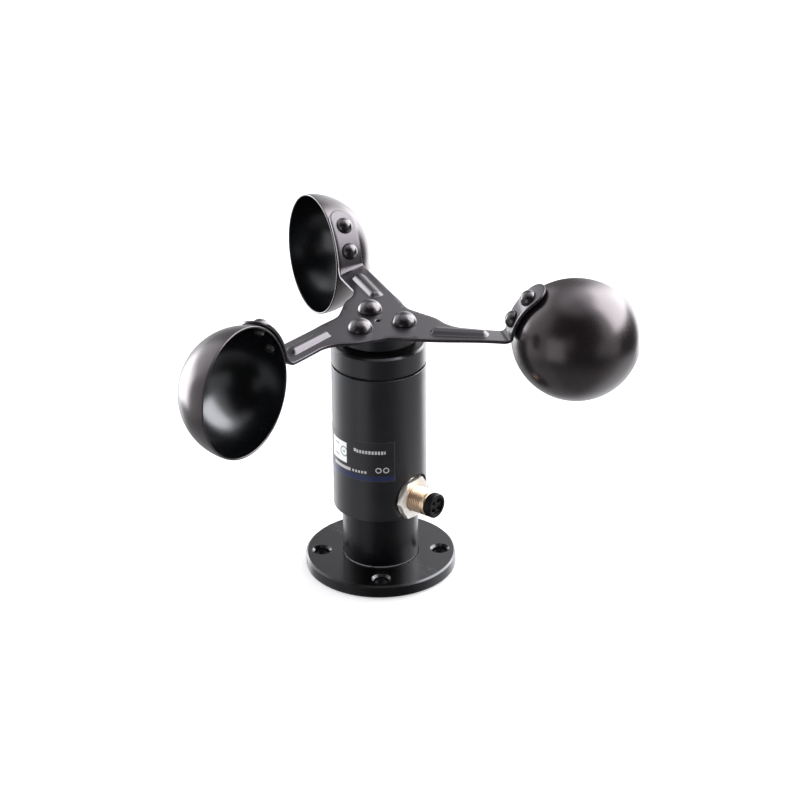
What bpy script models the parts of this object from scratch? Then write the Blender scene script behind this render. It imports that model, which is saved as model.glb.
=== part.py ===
"""Three-cup anemometer: a stamped three-arm spider carrying three hemispherical
cups, riveted to a hub on a ball-bearing spindle, in a turned housing on a
round bolt-down flange, with an M12 panel connector on the side.

Frame: metres, +Z up along the spindle, origin at the centre of the flange's
underside. The connector points to the front right (+X, -Y). Dimensions are in
millimetres and angles in degrees; new_object turns lengths into metres.
"""
import math

import bmesh
import bpy
from mathutils import Matrix, Vector

TO_METRES = 0.001
GAP = 0.3                       # clearance kept between separate pieces
OVERRUN = 1.0                   # how far a cutter runs past the face it opens
MERGE_DIST = 1e-4
DEGENERATE_DIST = 1e-5
SHARP_ANGLE = 35.0              # edges steeper than this are shaded sharp

# slot: (base colour, roughness, metallic)
MATERIALS = {
    "black_anodised": ((0.018, 0.018, 0.020), 0.42, 0.6),
    "black_coated_steel": ((0.022, 0.021, 0.022), 0.35, 0.5),
    "black_rivet": ((0.020, 0.020, 0.022), 0.28, 0.6),
    "black_rubber": ((0.012, 0.012, 0.012), 0.8, 0.0),
    "black_plastic": ((0.010, 0.010, 0.011), 0.5, 0.0),
    "label_film": ((0.020, 0.020, 0.028), 0.4, 0.0),
    "nickel": ((0.72, 0.70, 0.66), 0.25, 1.0),
    "nickel_brass": ((0.78, 0.62, 0.42), 0.25, 1.0),
    "gold_contact": ((0.85, 0.62, 0.25), 0.25, 1.0),
    "zinc_steel": ((0.62, 0.62, 0.64), 0.35, 1.0),
    "bearing_steel": ((0.70, 0.70, 0.72), 0.18, 1.0),
    "cage_polyamide": ((0.55, 0.50, 0.38), 0.5, 0.0),
    "machined_aluminium": ((0.74, 0.75, 0.77), 0.3, 1.0),
    "magnet_nickel": ((0.55, 0.54, 0.52), 0.3, 1.0),
    "board_green": ((0.03, 0.16, 0.06), 0.45, 0.0),
    "socket_white": ((0.75, 0.74, 0.70), 0.5, 0.0),
    "cable_grey": ((0.22, 0.22, 0.23), 0.6, 0.0),
}

for old in list(bpy.data.objects):
    bpy.data.objects.remove(old, do_unlink=True)


# ------------------------------------------------------------------ objects
def empty(name, z=0.0):
    """An empty on the spindle's axis."""
    obj = bpy.data.objects.new(name, None)
    obj.empty_display_size = 0.01
    bpy.context.scene.collection.objects.link(obj)
    obj.location = (0, 0, z * TO_METRES)
    return obj


def new_object(name, shape, parent, place=None):
    """Turns a bmesh and a placing matrix, both in millimetres, into an object."""
    bmesh.ops.remove_doubles(shape, verts=shape.verts, dist=MERGE_DIST)
    bmesh.ops.dissolve_degenerate(shape, edges=shape.edges, dist=DEGENERATE_DIST)
    bmesh.ops.recalc_face_normals(shape, faces=shape.faces)
    bmesh.ops.scale(shape, vec=(TO_METRES,) * 3, verts=shape.verts)
    mesh = bpy.data.meshes.new(name)
    shape.to_mesh(mesh)
    shape.free()
    obj = bpy.data.objects.new(name, mesh)
    bpy.context.scene.collection.objects.link(obj)
    obj.parent = parent
    if place is not None:
        matrix = place.copy()
        matrix.translation = place.translation * TO_METRES
        obj.matrix_world = matrix
    return obj


def material(name, slot):
    colour, roughness, metallic = MATERIALS[slot]
    mat = bpy.data.materials.new(name + "_" + slot)
    mat.use_nodes = True
    inputs = mat.node_tree.nodes["Principled BSDF"].inputs
    inputs["Base Color"].default_value = (*colour, 1.0)
    inputs["Roughness"].default_value = roughness
    inputs["Metallic"].default_value = metallic
    return mat


def piece(name, shape, slot, parent, place=None):
    """A visible piece with a material of its own."""
    obj = new_object(name, shape, parent, place)
    obj.data.materials.append(material(name, slot))
    obj.data.shade_smooth()
    obj.data.set_sharp_from_angle(angle=math.radians(SHARP_ANGLE))
    return obj


def tool(name, shape, parent, place=None):
    """A helper body for booleans, left out of renders."""
    obj = new_object(name, shape, parent, place)
    obj.hide_render = True
    obj.display_type = "WIRE"
    return obj


def add_boolean(target, name, operation, body):
    modifier = target.modifiers.new(name, "BOOLEAN")
    modifier.operation = operation
    modifier.solver = "EXACT"
    modifier.object = body


def cut(target, *cutters):
    for n, cutter in enumerate(cutters):
        add_boolean(target, f"cut_{n}", "DIFFERENCE", cutter)


# ------------------------------------------------------------------ places
def polar(radius, azimuth, z=0.0):
    angle = math.radians(azimuth)
    return Vector((radius * math.cos(angle), radius * math.sin(angle), z))


def ring_of(radius, count, first=0.0):
    """Placing matrices evenly spaced round a circle from azimuth first."""
    return [Matrix.Translation(polar(radius, 360.0 * k / count + first)) for k in range(count)]


def frame_along(origin, axis, up=Vector((0, 0, 1))):
    """Matrix whose local Z runs along axis from origin."""
    z = axis.normalized()
    x = up.cross(z).normalized()
    matrix = Matrix((x, z.cross(x), z)).transposed().to_4x4()
    matrix.translation = origin
    return matrix


# ------------------------------------------------------------------ shapes
def turned(profile, steps, places=(Matrix(),), shape=None):
    """Spins a profile of (radius, z) points round Z, once for each place.

    A profile that starts on the axis also ends there; any other is closed.
    """
    if shape is None:
        shape = bmesh.new()
    for place in places:
        existing = set(shape.verts)
        verts = [shape.verts.new((radius, 0.0, z)) for radius, z in profile]
        edges = [shape.edges.new(pair) for pair in zip(verts, verts[1:])]
        if profile[0][0] != 0:
            edges.append(shape.edges.new((verts[-1], verts[0])))
        bmesh.ops.spin(shape, geom=verts + edges, cent=(0, 0, 0), axis=(0, 0, 1),
                       angle=2 * math.pi, steps=steps, use_merge=True)
        bmesh.ops.transform(shape, matrix=place,
                            verts=[v for v in shape.verts if v not in existing])
    return shape


def sleeve(inner, outer, low, high, steps):
    return turned([(inner, low), (outer, low), (outer, high), (inner, high)], steps)


def rod(radius, low, high, steps, places=(Matrix(),), shape=None):
    return turned([(0, low), (radius, low), (radius, high), (0, high)], steps, places, shape)


def dome_profile(radius, height, angles, base=0.0):
    """Quarter ellipse sampled at angles above its rim, then its top on the axis."""
    points = [(radius * math.cos(math.radians(angle)),
               base + height * math.sin(math.radians(angle))) for angle in angles]
    return points + [(0, base + height)]


def box(low, high):
    shape = bmesh.new()
    bmesh.ops.create_cube(shape, size=1.0)
    for vert in shape.verts:
        vert.co = Vector([(low[i] + high[i]) / 2 + vert.co[i] * (high[i] - low[i])
                          for i in range(3)])
    return shape


def bridge(shape, rings):
    """Joins each ring of vertices to the next with quads."""
    for ring, following in zip(rings, rings[1:]):
        for i in range(len(ring)):
            j = (i + 1) % len(ring)
            shape.faces.new((ring[i], ring[j], following[j], following[i]))


def loft(shape, point_rings):
    """Adds a solid through rings of points, with both ends closed."""
    rings = [[shape.verts.new(point) for point in ring] for ring in point_rings]
    bridge(shape, rings)
    shape.faces.new(rings[0])
    shape.faces.new(list(reversed(rings[-1])))
    return shape


def arc_strip(radii, heights, azimuths, steps):
    """A curved bar between two radii, two heights and two azimuths."""
    (inner, outer), (low, high), (start, end) = radii, heights, azimuths
    corners = ((inner, low), (outer, low), (outer, high), (inner, high))
    return loft(bmesh.new(), [
        [polar(radius, start + (end - start) * n / steps, z) for radius, z in corners]
        for n in range(steps + 1)])


fixed = empty("fixed_frame")
rotor = empty("rotor_axis")
bpy.context.view_layer.update()

# ------------------------------------------------------------------ flange
POST_R = 17.5
FLANGE_R = 35.0
FLANGE_H = 6.0
FLANGE_BOTTOM_CHAMFER = 0.5
FLANGE_TOP_CHAMFER = 0.8
RECESS_R = POST_R + 0.4         # shallow seat that the post stands in
RECESS_Z = 5.0
RECESS_CHAMFER = 0.5
BOLT_CIRCLE_R = 27.6
BOLT_HOLE_R = 3.5
BOLT_CHAMFER_R = 4.6
BASE_SCREW_HOLE_R = 2.4
COUNTERSINK_Z = 2.3
BASE_SCREW_SPOTS = ring_of(10.0, 3, first=30.0)
# (radius, z) from the recess in the head, at the bottom, up to the tip
BASE_SCREW_PROFILE = [
    (0, 1.7), (1.25, 1.7), (1.25, 0.3), (4.0, 0.3),
    (2.0, 2.3), (2.0, 9.6), (1.6, 10.0), (0, 10.0)]

flange = piece("mounting_flange", turned([
    (0, 0), (FLANGE_R - FLANGE_BOTTOM_CHAMFER, 0), (FLANGE_R, FLANGE_BOTTOM_CHAMFER),
    (FLANGE_R, FLANGE_H - FLANGE_TOP_CHAMFER), (FLANGE_R - FLANGE_TOP_CHAMFER, FLANGE_H),
    (RECESS_R + RECESS_CHAMFER, FLANGE_H), (RECESS_R, FLANGE_H - RECESS_CHAMFER),
    (RECESS_R, RECESS_Z), (0, RECESS_Z)], steps=40), "black_anodised", fixed)

# 45-degree chamfers on top of the bolt holes and under the screw holes
flange_holes = turned([
    (0, -OVERRUN), (BOLT_HOLE_R, -OVERRUN),
    (BOLT_HOLE_R, FLANGE_H - (BOLT_CHAMFER_R - BOLT_HOLE_R)),
    (BOLT_CHAMFER_R + OVERRUN, FLANGE_H + OVERRUN), (0, FLANGE_H + OVERRUN)],
    steps=16, places=ring_of(BOLT_CIRCLE_R, 4))
turned([
    (0, -OVERRUN), (BASE_SCREW_HOLE_R + COUNTERSINK_Z + OVERRUN, -OVERRUN),
    (BASE_SCREW_HOLE_R, COUNTERSINK_Z), (BASE_SCREW_HOLE_R, RECESS_Z + OVERRUN),
    (0, RECESS_Z + OVERRUN)], steps=10, places=BASE_SCREW_SPOTS, shape=flange_holes)
cut(flange, tool("flange_hole_cutters", flange_holes, fixed))

for n, spot in enumerate(BASE_SCREW_SPOTS, 1):
    piece(f"base_screw_{n}", turned(BASE_SCREW_PROFILE, steps=12), "zinc_steel", fixed, spot)

# ------------------------------------------------------------------ post
HOUSING_BOT_Z = 32.3
POST_BOT_Z = RECESS_Z + GAP
POST_SHOULDER_Z = HOUSING_BOT_Z - GAP
POST_CHAMFER = 0.4
POST_BORE_R = 12.5
POST_FLOOR_Z = 12.0
SPIGOT_R = 14.7                 # the post's top fits inside the housing
SPIGOT_TOP_Z = 34.2
SPIGOT_CHAMFER = 0.5

post = piece("base_post", turned([
    (0, POST_BOT_Z), (POST_R - POST_CHAMFER, POST_BOT_Z), (POST_R, POST_BOT_Z + POST_CHAMFER),
    (POST_R, POST_SHOULDER_Z), (SPIGOT_R, POST_SHOULDER_Z),
    (SPIGOT_R, SPIGOT_TOP_Z - SPIGOT_CHAMFER), (SPIGOT_R - SPIGOT_CHAMFER, SPIGOT_TOP_Z),
    (POST_BORE_R, SPIGOT_TOP_Z), (POST_BORE_R, POST_FLOOR_Z), (0, POST_FLOOR_Z)],
    steps=28), "black_anodised", fixed)
cut(post, tool("post_hole_cutters",
               rod(2.3, 3.0, 10.8, steps=10, places=BASE_SCREW_SPOTS), fixed))

# ------------------------------------------------------------------ housing
HOUSING_R = 21.5
HOUSING_TOP_Z = 103.1
HOUSING_CHAMFER = 0.5
HOUSING_LOW_BORE_R = SPIGOT_R + GAP
HOUSING_BORE_R = 18.4
LEDGE_Z = 54.0                  # the board rests above this ledge
BOARD_HOLE_R = 1.2
BOARD_SCREW_SPOTS = ring_of(16.6, 3, first=20.0)
SHELL_R = 5.9
CONNECTOR_BORE_R = SHELL_R + GAP
POCKET_R = 11.5                 # round spotface milled into the housing
POCKET_FLOOR = 17.7             # distance of its floor from the spindle axis
LABEL_RADII = (HOUSING_R + 0.15, HOUSING_R + 0.35)

# Local Z of the connector frame is the distance from the spindle axis.
CONNECTOR_DIR = polar(1.0, -41.0)
CONNECTOR_CENTRE = Vector((0, 0, 40.6))
CONNECTOR_FRAME = frame_along(CONNECTOR_CENTRE, CONNECTOR_DIR)

housing = piece("main_housing", turned([
    (HOUSING_LOW_BORE_R, HOUSING_BOT_Z), (HOUSING_R, HOUSING_BOT_Z),
    (HOUSING_R, HOUSING_TOP_Z - HOUSING_CHAMFER), (HOUSING_R - HOUSING_CHAMFER, HOUSING_TOP_Z),
    (HOUSING_BORE_R, HOUSING_TOP_Z), (HOUSING_BORE_R, LEDGE_Z), (HOUSING_LOW_BORE_R, LEDGE_Z)],
    steps=40), "black_anodised", fixed)
cut(housing,
    tool("pocket_cutter",
         rod(POCKET_R, POCKET_FLOOR, 30.0, steps=24, places=[CONNECTOR_FRAME]), fixed),
    tool("connector_hole_cutter",
         rod(CONNECTOR_BORE_R, 8.0, 25.0, steps=16, places=[CONNECTOR_FRAME]), fixed),
    tool("board_hole_cutters",
         rod(BOARD_HOLE_R, 49.0, LEDGE_Z + 2, steps=8, places=BOARD_SCREW_SPOTS), fixed))

piece("name_label", arc_strip(LABEL_RADII, (53.0, 72.9), (-71.5, -221.5), steps=20),
      "label_film", fixed)

# ------------------------------------------------------------------ connector
GASKET_FROM = POCKET_FLOOR + GAP
GASKET_TO = GASKET_FROM + 0.6
NUT_FLATS = 18.0
NUT_FROM = GASKET_TO + GAP
NUT_TO = 21.5
SHELL_FROM = 11.6
SHELL_TO = 30.6
SHELL_BORE_R = 4.7
SHELL_CHAMFER = 0.4
INSERT_R = 5.75
INSERT_STEM_R = SHELL_BORE_R - GAP
INSERT_TO = 34.2
INSERT_CHAMFER = 0.8
INSERT_FACE = INSERT_TO - 0.6   # recessed face inside the rim
CONTACT_SPOTS = ring_of(2.6, 4, first=45.0)

piece("connector_gasket", sleeve(6.3, 8.0, GASKET_FROM, GASKET_TO, steps=16),
      "black_rubber", fixed, CONNECTOR_FRAME)


def hexagon_prism(across_flats, low, high):
    corner_radius = across_flats / 2 / math.cos(math.radians(30))
    shape = bmesh.new()
    face = shape.faces.new([shape.verts.new(polar(corner_radius, 60.0 * k, low))
                            for k in range(6)])
    extruded = bmesh.ops.extrude_face_region(shape, geom=[face])["geom"]
    bmesh.ops.translate(shape, vec=(0, 0, high - low),
                        verts=[item for item in extruded if isinstance(item, bmesh.types.BMVert)])
    return shape


nut = piece("connector_nut", hexagon_prism(NUT_FLATS, NUT_FROM, NUT_TO),
            "nickel", fixed, CONNECTOR_FRAME)
cut(nut, tool("nut_bore_cutter", rod(CONNECTOR_BORE_R, NUT_FROM - 2, NUT_TO + 2, steps=16),
              fixed, CONNECTOR_FRAME))

piece("connector_shell", turned([
    (SHELL_BORE_R, SHELL_FROM), (SHELL_R - SHELL_CHAMFER, SHELL_FROM),
    (SHELL_R, SHELL_FROM + SHELL_CHAMFER), (SHELL_R, SHELL_TO - SHELL_CHAMFER),
    (SHELL_R - SHELL_CHAMFER, SHELL_TO), (SHELL_BORE_R, SHELL_TO)],
    steps=16), "nickel_brass", fixed, CONNECTOR_FRAME)

insert = piece("connector_insert", turned([
    (0, 13.0), (INSERT_STEM_R, 13.0), (INSERT_STEM_R, SHELL_TO + GAP), (INSERT_R, SHELL_TO + GAP),
    (INSERT_R, INSERT_TO - INSERT_CHAMFER), (INSERT_R - INSERT_CHAMFER, INSERT_TO),
    (4.0, INSERT_TO), (4.0, INSERT_FACE), (0, INSERT_FACE)],
    steps=16), "black_plastic", fixed, CONNECTOR_FRAME)
cut(insert, tool("contact_hole_cutters", rod(0.85, 10.0, 40.0, steps=8, places=CONTACT_SPOTS),
                 fixed, CONNECTOR_FRAME))
for n, spot in enumerate(CONTACT_SPOTS, 1):
    piece(f"connector_contact_{n}", rod(0.5, 11.8, INSERT_FACE - GAP, steps=8, places=[spot]),
          "gold_contact", fixed, CONNECTOR_FRAME)

# ------------------------------------------------------------------ board
BOARD_R = 18.0
BOARD_BOT_Z = LEDGE_Z + GAP
BOARD_TOP_Z = BOARD_BOT_Z + 1.6
ON_BOARD_Z = BOARD_TOP_Z + GAP  # underside of the parts above the board
BOARD_SCREW_PROFILE = [         # (radius, z) from the tip up to the socket's floor
    (0, 49.6), (0.85, 49.6), (0.85, ON_BOARD_Z), (1.45, ON_BOARD_Z),
    (1.45, ON_BOARD_Z + 1.1), (0.6, ON_BOARD_Z + 1.4), (0.6, ON_BOARD_Z + 0.7),
    (0, ON_BOARD_Z + 0.7)]

board = piece("circuit_board", rod(BOARD_R, BOARD_BOT_Z, BOARD_TOP_Z, steps=28),
              "board_green", fixed)
cut(board, tool("board_clearance_cutters",
                rod(BOARD_HOLE_R, LEDGE_Z - 1, LEDGE_Z + 4, steps=8, places=BOARD_SCREW_SPOTS),
                fixed))
for n, spot in enumerate(BOARD_SCREW_SPOTS, 1):
    piece(f"board_screw_{n}", turned(BOARD_SCREW_PROFILE, steps=10), "zinc_steel", fixed, spot)
piece("hall_sensor", box((-2.5, -2.0, ON_BOARD_Z), (2.5, 2.0, ON_BOARD_Z + 1.0)),
      "black_plastic", fixed)
piece("board_socket", box((-10.0, 2.0, 49.2), (-2.0, 8.0, BOARD_BOT_Z - GAP)),
      "socket_white", fixed)

# ------------------------------------------------------------------ cable
CABLE_R = 2.0
CABLE_SIDES = 8
CABLE_STEPS = 12
CABLE_FROM = CONNECTOR_CENTRE + CONNECTOR_DIR * 11.2
CABLE_CURVE = (                 # Bezier control points, from connector to board socket
    CABLE_FROM, CABLE_FROM - CONNECTOR_DIR * 14, Vector((-6, 5, 38.0)), Vector((-6, 5, 48.8)))
CABLE_UP = Vector((0.3, 0.9, 0.31))     # never parallel to the cable


def bezier(start, handle_1, handle_2, end, steps):
    points = []
    for i in range(steps + 1):
        t = i / steps
        points.append(start * (1 - t) ** 3 + handle_1 * 3 * t * (1 - t) ** 2
                      + handle_2 * 3 * t * t * (1 - t) + end * t ** 3)
    return points


def tube_along(points, radius, sides):
    rings = []
    for n, point in enumerate(points):
        tangent = points[min(n + 1, len(points) - 1)] - points[max(n - 1, 0)]
        frame = frame_along(point, tangent, up=CABLE_UP)
        rings.append([frame @ polar(radius, 360.0 * k / sides) for k in range(sides)])
    return loft(bmesh.new(), rings)


piece("signal_cable", tube_along(bezier(*CABLE_CURVE, CABLE_STEPS), CABLE_R, CABLE_SIDES),
      "cable_grey", fixed)

# ------------------------------------------------------------------ cap, seal, bearing carrier
SHAFT_R = 3.0
BEARING_OD_R = 9.5
BEARING_ID_R = SHAFT_R + GAP
BEARING_W = 6.0
UPPER_BEARING_Z = 98.1          # undersides of the bearings
LOWER_BEARING_Z = 72.0
OVER_BEARING_Z = UPPER_BEARING_Z + BEARING_W + GAP
SEAT_R = BEARING_OD_R + GAP
SEAL_BOT_Z = HOUSING_TOP_Z + GAP
SEAL_TOP_Z = SEAL_BOT_Z + 0.4
CAP_BOT_Z = SEAL_TOP_Z + GAP
CAP_TOP_Z = 114.0
CAP_CHAMFER = 0.8
CAP_HOLE_R = 7.3
CAP_SPIGOT_R = HOUSING_BORE_R - GAP
CAP_SPIGOT_Z = 97.0
CARRIER_BOT_Z = 68.0
CARRIER_TOP_Z = CAP_SPIGOT_Z - GAP
CARRIER_R = 12.4
CARRIER_BORE_R = 7.8
CARRIER_FLANGE_R = 17.8
CARRIER_FLANGE_Z = 93.7
CARRIER_SCREW_SPOTS = ring_of(15.1, 3)
# (radius, z) from the recess in the head, at the bottom, up to the tip
CARRIER_SCREW_PROFILE = [
    (0, 92.2), (1.0, 92.2), (1.0, 91.0), (2.3, 91.0),
    (2.3, 93.4), (1.35, 93.4), (1.35, 100.8), (0, 100.8)]

piece("cap_seal_ring", sleeve(18.9, 20.8, SEAL_BOT_Z, SEAL_TOP_Z, steps=28),
      "black_rubber", fixed)

cap = piece("top_cap", turned([
    (SEAT_R, CAP_SPIGOT_Z), (CAP_SPIGOT_R, CAP_SPIGOT_Z), (CAP_SPIGOT_R, CAP_BOT_Z),
    (HOUSING_R, CAP_BOT_Z), (HOUSING_R, CAP_TOP_Z - CAP_CHAMFER),
    (HOUSING_R - CAP_CHAMFER, CAP_TOP_Z), (CAP_HOLE_R, CAP_TOP_Z),
    (CAP_HOLE_R, OVER_BEARING_Z), (SEAT_R, OVER_BEARING_Z)],
    steps=32), "black_anodised", fixed)
cut(cap, tool("cap_hole_cutters",
              rod(1.6, 96.0, 101.5, steps=8, places=CARRIER_SCREW_SPOTS), fixed))

carrier = piece("bearing_carrier", turned([
    (CARRIER_BORE_R, CARRIER_BOT_Z), (CARRIER_R, CARRIER_BOT_Z), (CARRIER_R, CARRIER_FLANGE_Z),
    (CARRIER_FLANGE_R, CARRIER_FLANGE_Z), (CARRIER_FLANGE_R, CARRIER_TOP_Z),
    (SEAT_R, CARRIER_TOP_Z), (SEAT_R, LOWER_BEARING_Z - GAP),
    (CARRIER_BORE_R, LOWER_BEARING_Z - GAP)], steps=24), "machined_aluminium", fixed)
cut(carrier, tool("carrier_hole_cutters",
                  rod(1.7, 92.0, 98.0, steps=8, places=CARRIER_SCREW_SPOTS), fixed))
for n, spot in enumerate(CARRIER_SCREW_SPOTS, 1):
    piece(f"carrier_screw_{n}", turned(CARRIER_SCREW_PROFILE, steps=10),
          "zinc_steel", fixed, spot)

# ------------------------------------------------------------------ bearings
OUTER_RACE_R = 7.7              # inner face of the outer race
INNER_RACE_R = 4.8              # outer face of the inner race
GROOVE_HALF_W = 1.3
GROOVE_DEPTH = 0.45
BALL_PITCH_R = (OUTER_RACE_R + INNER_RACE_R) / 2
BALL_R = 1.6
BALLS = 7
CAGE_HALF_T = 0.5
CAGE_HALF_H = 0.6


def bearing(prefix, low):
    """Deep-groove ball bearing: two grooved races and one cage holding the balls."""
    middle, high = low + BEARING_W / 2, low + BEARING_W
    piece(prefix + "_bearing_outer_race", turned([
        (OUTER_RACE_R, low), (BEARING_OD_R, low), (BEARING_OD_R, high), (OUTER_RACE_R, high),
        (OUTER_RACE_R, middle + GROOVE_HALF_W), (OUTER_RACE_R + GROOVE_DEPTH, middle),
        (OUTER_RACE_R, middle - GROOVE_HALF_W)], steps=20), "bearing_steel", fixed)
    piece(prefix + "_bearing_inner_race", turned([
        (BEARING_ID_R, low), (INNER_RACE_R, low), (INNER_RACE_R, middle - GROOVE_HALF_W),
        (INNER_RACE_R - GROOVE_DEPTH, middle), (INNER_RACE_R, middle + GROOVE_HALF_W),
        (INNER_RACE_R, high), (BEARING_ID_R, high)], steps=16), "bearing_steel", rotor)
    # The cage has an axis of its own, as it turns slower than the rotor.
    axis = empty(prefix + "_cage_axis", middle)
    cage = piece(prefix + "_ball_cage", sleeve(
        BALL_PITCH_R - CAGE_HALF_T, BALL_PITCH_R + CAGE_HALF_T, -CAGE_HALF_H, CAGE_HALF_H,
        steps=21), "cage_polyamide", axis)
    balls = bmesh.new()
    for spot in ring_of(BALL_PITCH_R, BALLS, first=3.0):
        bmesh.ops.create_icosphere(balls, subdivisions=1, radius=BALL_R, matrix=spot)
    add_boolean(cage, "balls", "UNION", tool(prefix + "_balls_tool", balls, axis))


bearing("upper", UPPER_BEARING_Z)
bearing("lower", LOWER_BEARING_Z)
SPACER_Z = (LOWER_BEARING_Z + BEARING_W + GAP, UPPER_BEARING_Z - GAP)
piece("outer_race_spacer", sleeve(8.3, BEARING_OD_R, *SPACER_Z, steps=20),
      "machined_aluminium", fixed)
piece("inner_race_spacer", sleeve(BEARING_ID_R, 4.7, *SPACER_Z, steps=16),
      "machined_aluminium", rotor)

# ------------------------------------------------------------------ spindle
HOLDER_BORE_R = SHAFT_R + GAP
HOLDER_R = 5.2
HOLDER_Z = (60.0, 69.0)
HOLDER_WEB_Z = (63.2, 64.0)     # web between the magnet and the shaft
SHAFT_BOT_Z = HOLDER_WEB_Z[1] + GAP
SHAFT_TOP_Z = 119.8
SHAFT_CHAMFER = 0.4
GROOVE_R = 2.3                  # groove for the retaining ring
GROOVE_Z = (70.3, 71.7)

piece("spindle_shaft", turned([
    (0, SHAFT_BOT_Z), (SHAFT_R - SHAFT_CHAMFER, SHAFT_BOT_Z),
    (SHAFT_R, SHAFT_BOT_Z + SHAFT_CHAMFER), (SHAFT_R, GROOVE_Z[0]), (GROOVE_R, GROOVE_Z[0]),
    (GROOVE_R, GROOVE_Z[1]), (SHAFT_R, GROOVE_Z[1]), (SHAFT_R, SHAFT_TOP_Z - SHAFT_CHAMFER),
    (SHAFT_R - SHAFT_CHAMFER, SHAFT_TOP_Z), (0, SHAFT_TOP_Z)],
    steps=16), "bearing_steel", rotor)
piece("shaft_retaining_ring", arc_strip(
    (2.62, 4.6), (GROOVE_Z[0] + GAP, GROOVE_Z[1] - GAP), (30.0, 330.0), steps=16),
    "zinc_steel", rotor)
piece("magnet_holder", turned([
    (0, HOLDER_WEB_Z[0]), (HOLDER_BORE_R, HOLDER_WEB_Z[0]), (HOLDER_BORE_R, HOLDER_Z[0]),
    (HOLDER_R, HOLDER_Z[0]), (HOLDER_R, HOLDER_Z[1]), (HOLDER_BORE_R, HOLDER_Z[1]),
    (HOLDER_BORE_R, HOLDER_WEB_Z[1]), (0, HOLDER_WEB_Z[1])],
    steps=16), "machined_aluminium", rotor)
piece("sensing_magnet", rod(HOLDER_BORE_R - GAP, 60.2, HOLDER_WEB_Z[0] - GAP, steps=16),
      "magnet_nickel", rotor)

# ------------------------------------------------------------------ hub
HUB_R = 17.6
HUB_BOT_Z = 115.4
HUB_TOP_Z = 121.5
HUB_NECK_R = 6.6
HUB_BORE_R = SHAFT_R + GAP
HUB_BOTTOM_CHAMFER = 0.6
HUB_TOP_CHAMFER = 0.4
HUB_RIVET_HOLE_R = 3.3
HUB_RIVET_SPOTS = ring_of(11.9, 3, first=-12.0)

hub = piece("rotor_hub", turned([
    (0, SHAFT_TOP_Z + GAP), (HUB_BORE_R, SHAFT_TOP_Z + GAP), (HUB_BORE_R, OVER_BEARING_Z),
    (HUB_NECK_R, OVER_BEARING_Z), (HUB_NECK_R, HUB_BOT_Z),
    (HUB_R - HUB_BOTTOM_CHAMFER, HUB_BOT_Z), (HUB_R, HUB_BOT_Z + HUB_BOTTOM_CHAMFER),
    (HUB_R, HUB_TOP_Z - HUB_TOP_CHAMFER), (HUB_R - HUB_TOP_CHAMFER, HUB_TOP_Z),
    (0, HUB_TOP_Z)], steps=28), "black_anodised", rotor)
cut(hub, tool("hub_hole_cutters",
              rod(HUB_RIVET_HOLE_R, 116.5, 123.0, steps=10, places=HUB_RIVET_SPOTS), rotor))

# ------------------------------------------------------------------ arms and ears
# Arm coordinates are (out, side, z): out from the spindle along the arm, side
# towards the convex side of its cup. Each arm ends in a bend that turns up
# into an ear, which curves over the cup from its spindle side.
PLATE_T = 1.5
PLATE_BOT_Z = 121.9
PLATE_TOP_Z = PLATE_BOT_Z + PLATE_T
CUP_AZ = -9.35                  # first cup; the others follow every 120 degrees
CUP_CIRCLE_R = 88.75
CUP_Z = 121.2

EAR_SIDE = 9.0                  # ear's distance behind the rim plane
EAR_TILT = math.radians(15.0)   # ear follows the dome sideways
EAR_MID_R = 28.15 + PLATE_T / 2     # inner face of the ear's curve, plus half the plate
EAR_W = 13.0
EAR_TIP = math.radians(63.0)
EAR_STEPS = 4
TIP_PARTS = (0.45, 0.78, 0.97)  # stations round the tip, as parts of its radius
ARM_W = 14.4
ARM_SHIFT = 0.1                 # arm's centre line lies this much short of EAR_SIDE
ARM_TWIST = 0.10                # rise per unit of side
TWIST_FROM = 24.0               # the twist eases in from here over TWIST_LENGTH
TWIST_LENGTH = 30.0
BEND_R = 3.5
BEND_STEPS = 4
BEND_Z = (PLATE_BOT_Z + PLATE_TOP_Z) / 2 + BEND_R
BEND_OUT = CUP_CIRCLE_R - math.sqrt((EAR_MID_R + BEND_R) ** 2 - (BEND_Z - CUP_Z) ** 2)
BEND_END = math.asin((BEND_Z - CUP_Z) / (EAR_MID_R + BEND_R))     # ear angle where it starts

# (out, side) of the plate's edges, in order round one arm
CONVEX_EDGE = [(8.0, 17.5), (34.0, 16.7)]
OPENING_EDGE = [
    (50.0, 1.7), (36.0, 1.6), (30.5, -1.0), (25.0, -6.6), (17.0, -11.5), (11.5, -15.2)]


def arm_point(out, side, z, k):
    angle = math.radians(CUP_AZ + 120.0 * k)
    return Vector((out * math.cos(angle) + side * math.sin(angle),
                   out * math.sin(angle) - side * math.cos(angle), z))


def twist(out, side):
    """Rise of the twisted plate at a point of the arm."""
    ease = min(max((out - TWIST_FROM) / TWIST_LENGTH, 0.0), 1.0)
    ease = ease * ease * (3 - 2 * ease)
    return (side - (EAR_SIDE - ARM_SHIFT)) * ARM_TWIST * ease


def ear_section(angle):
    """Centre, width direction and outward normal of the ear, in arm coordinates."""
    radial = Vector((-math.cos(angle), 0.0, math.sin(angle)))
    side = Vector((0, 1, 0))
    return (Vector((CUP_CIRCLE_R, EAR_SIDE, CUP_Z)) + radial * EAR_MID_R,
            side * math.cos(EAR_TILT) - radial * math.sin(EAR_TILT),
            radial * math.cos(EAR_TILT) + side * math.sin(EAR_TILT))


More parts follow.
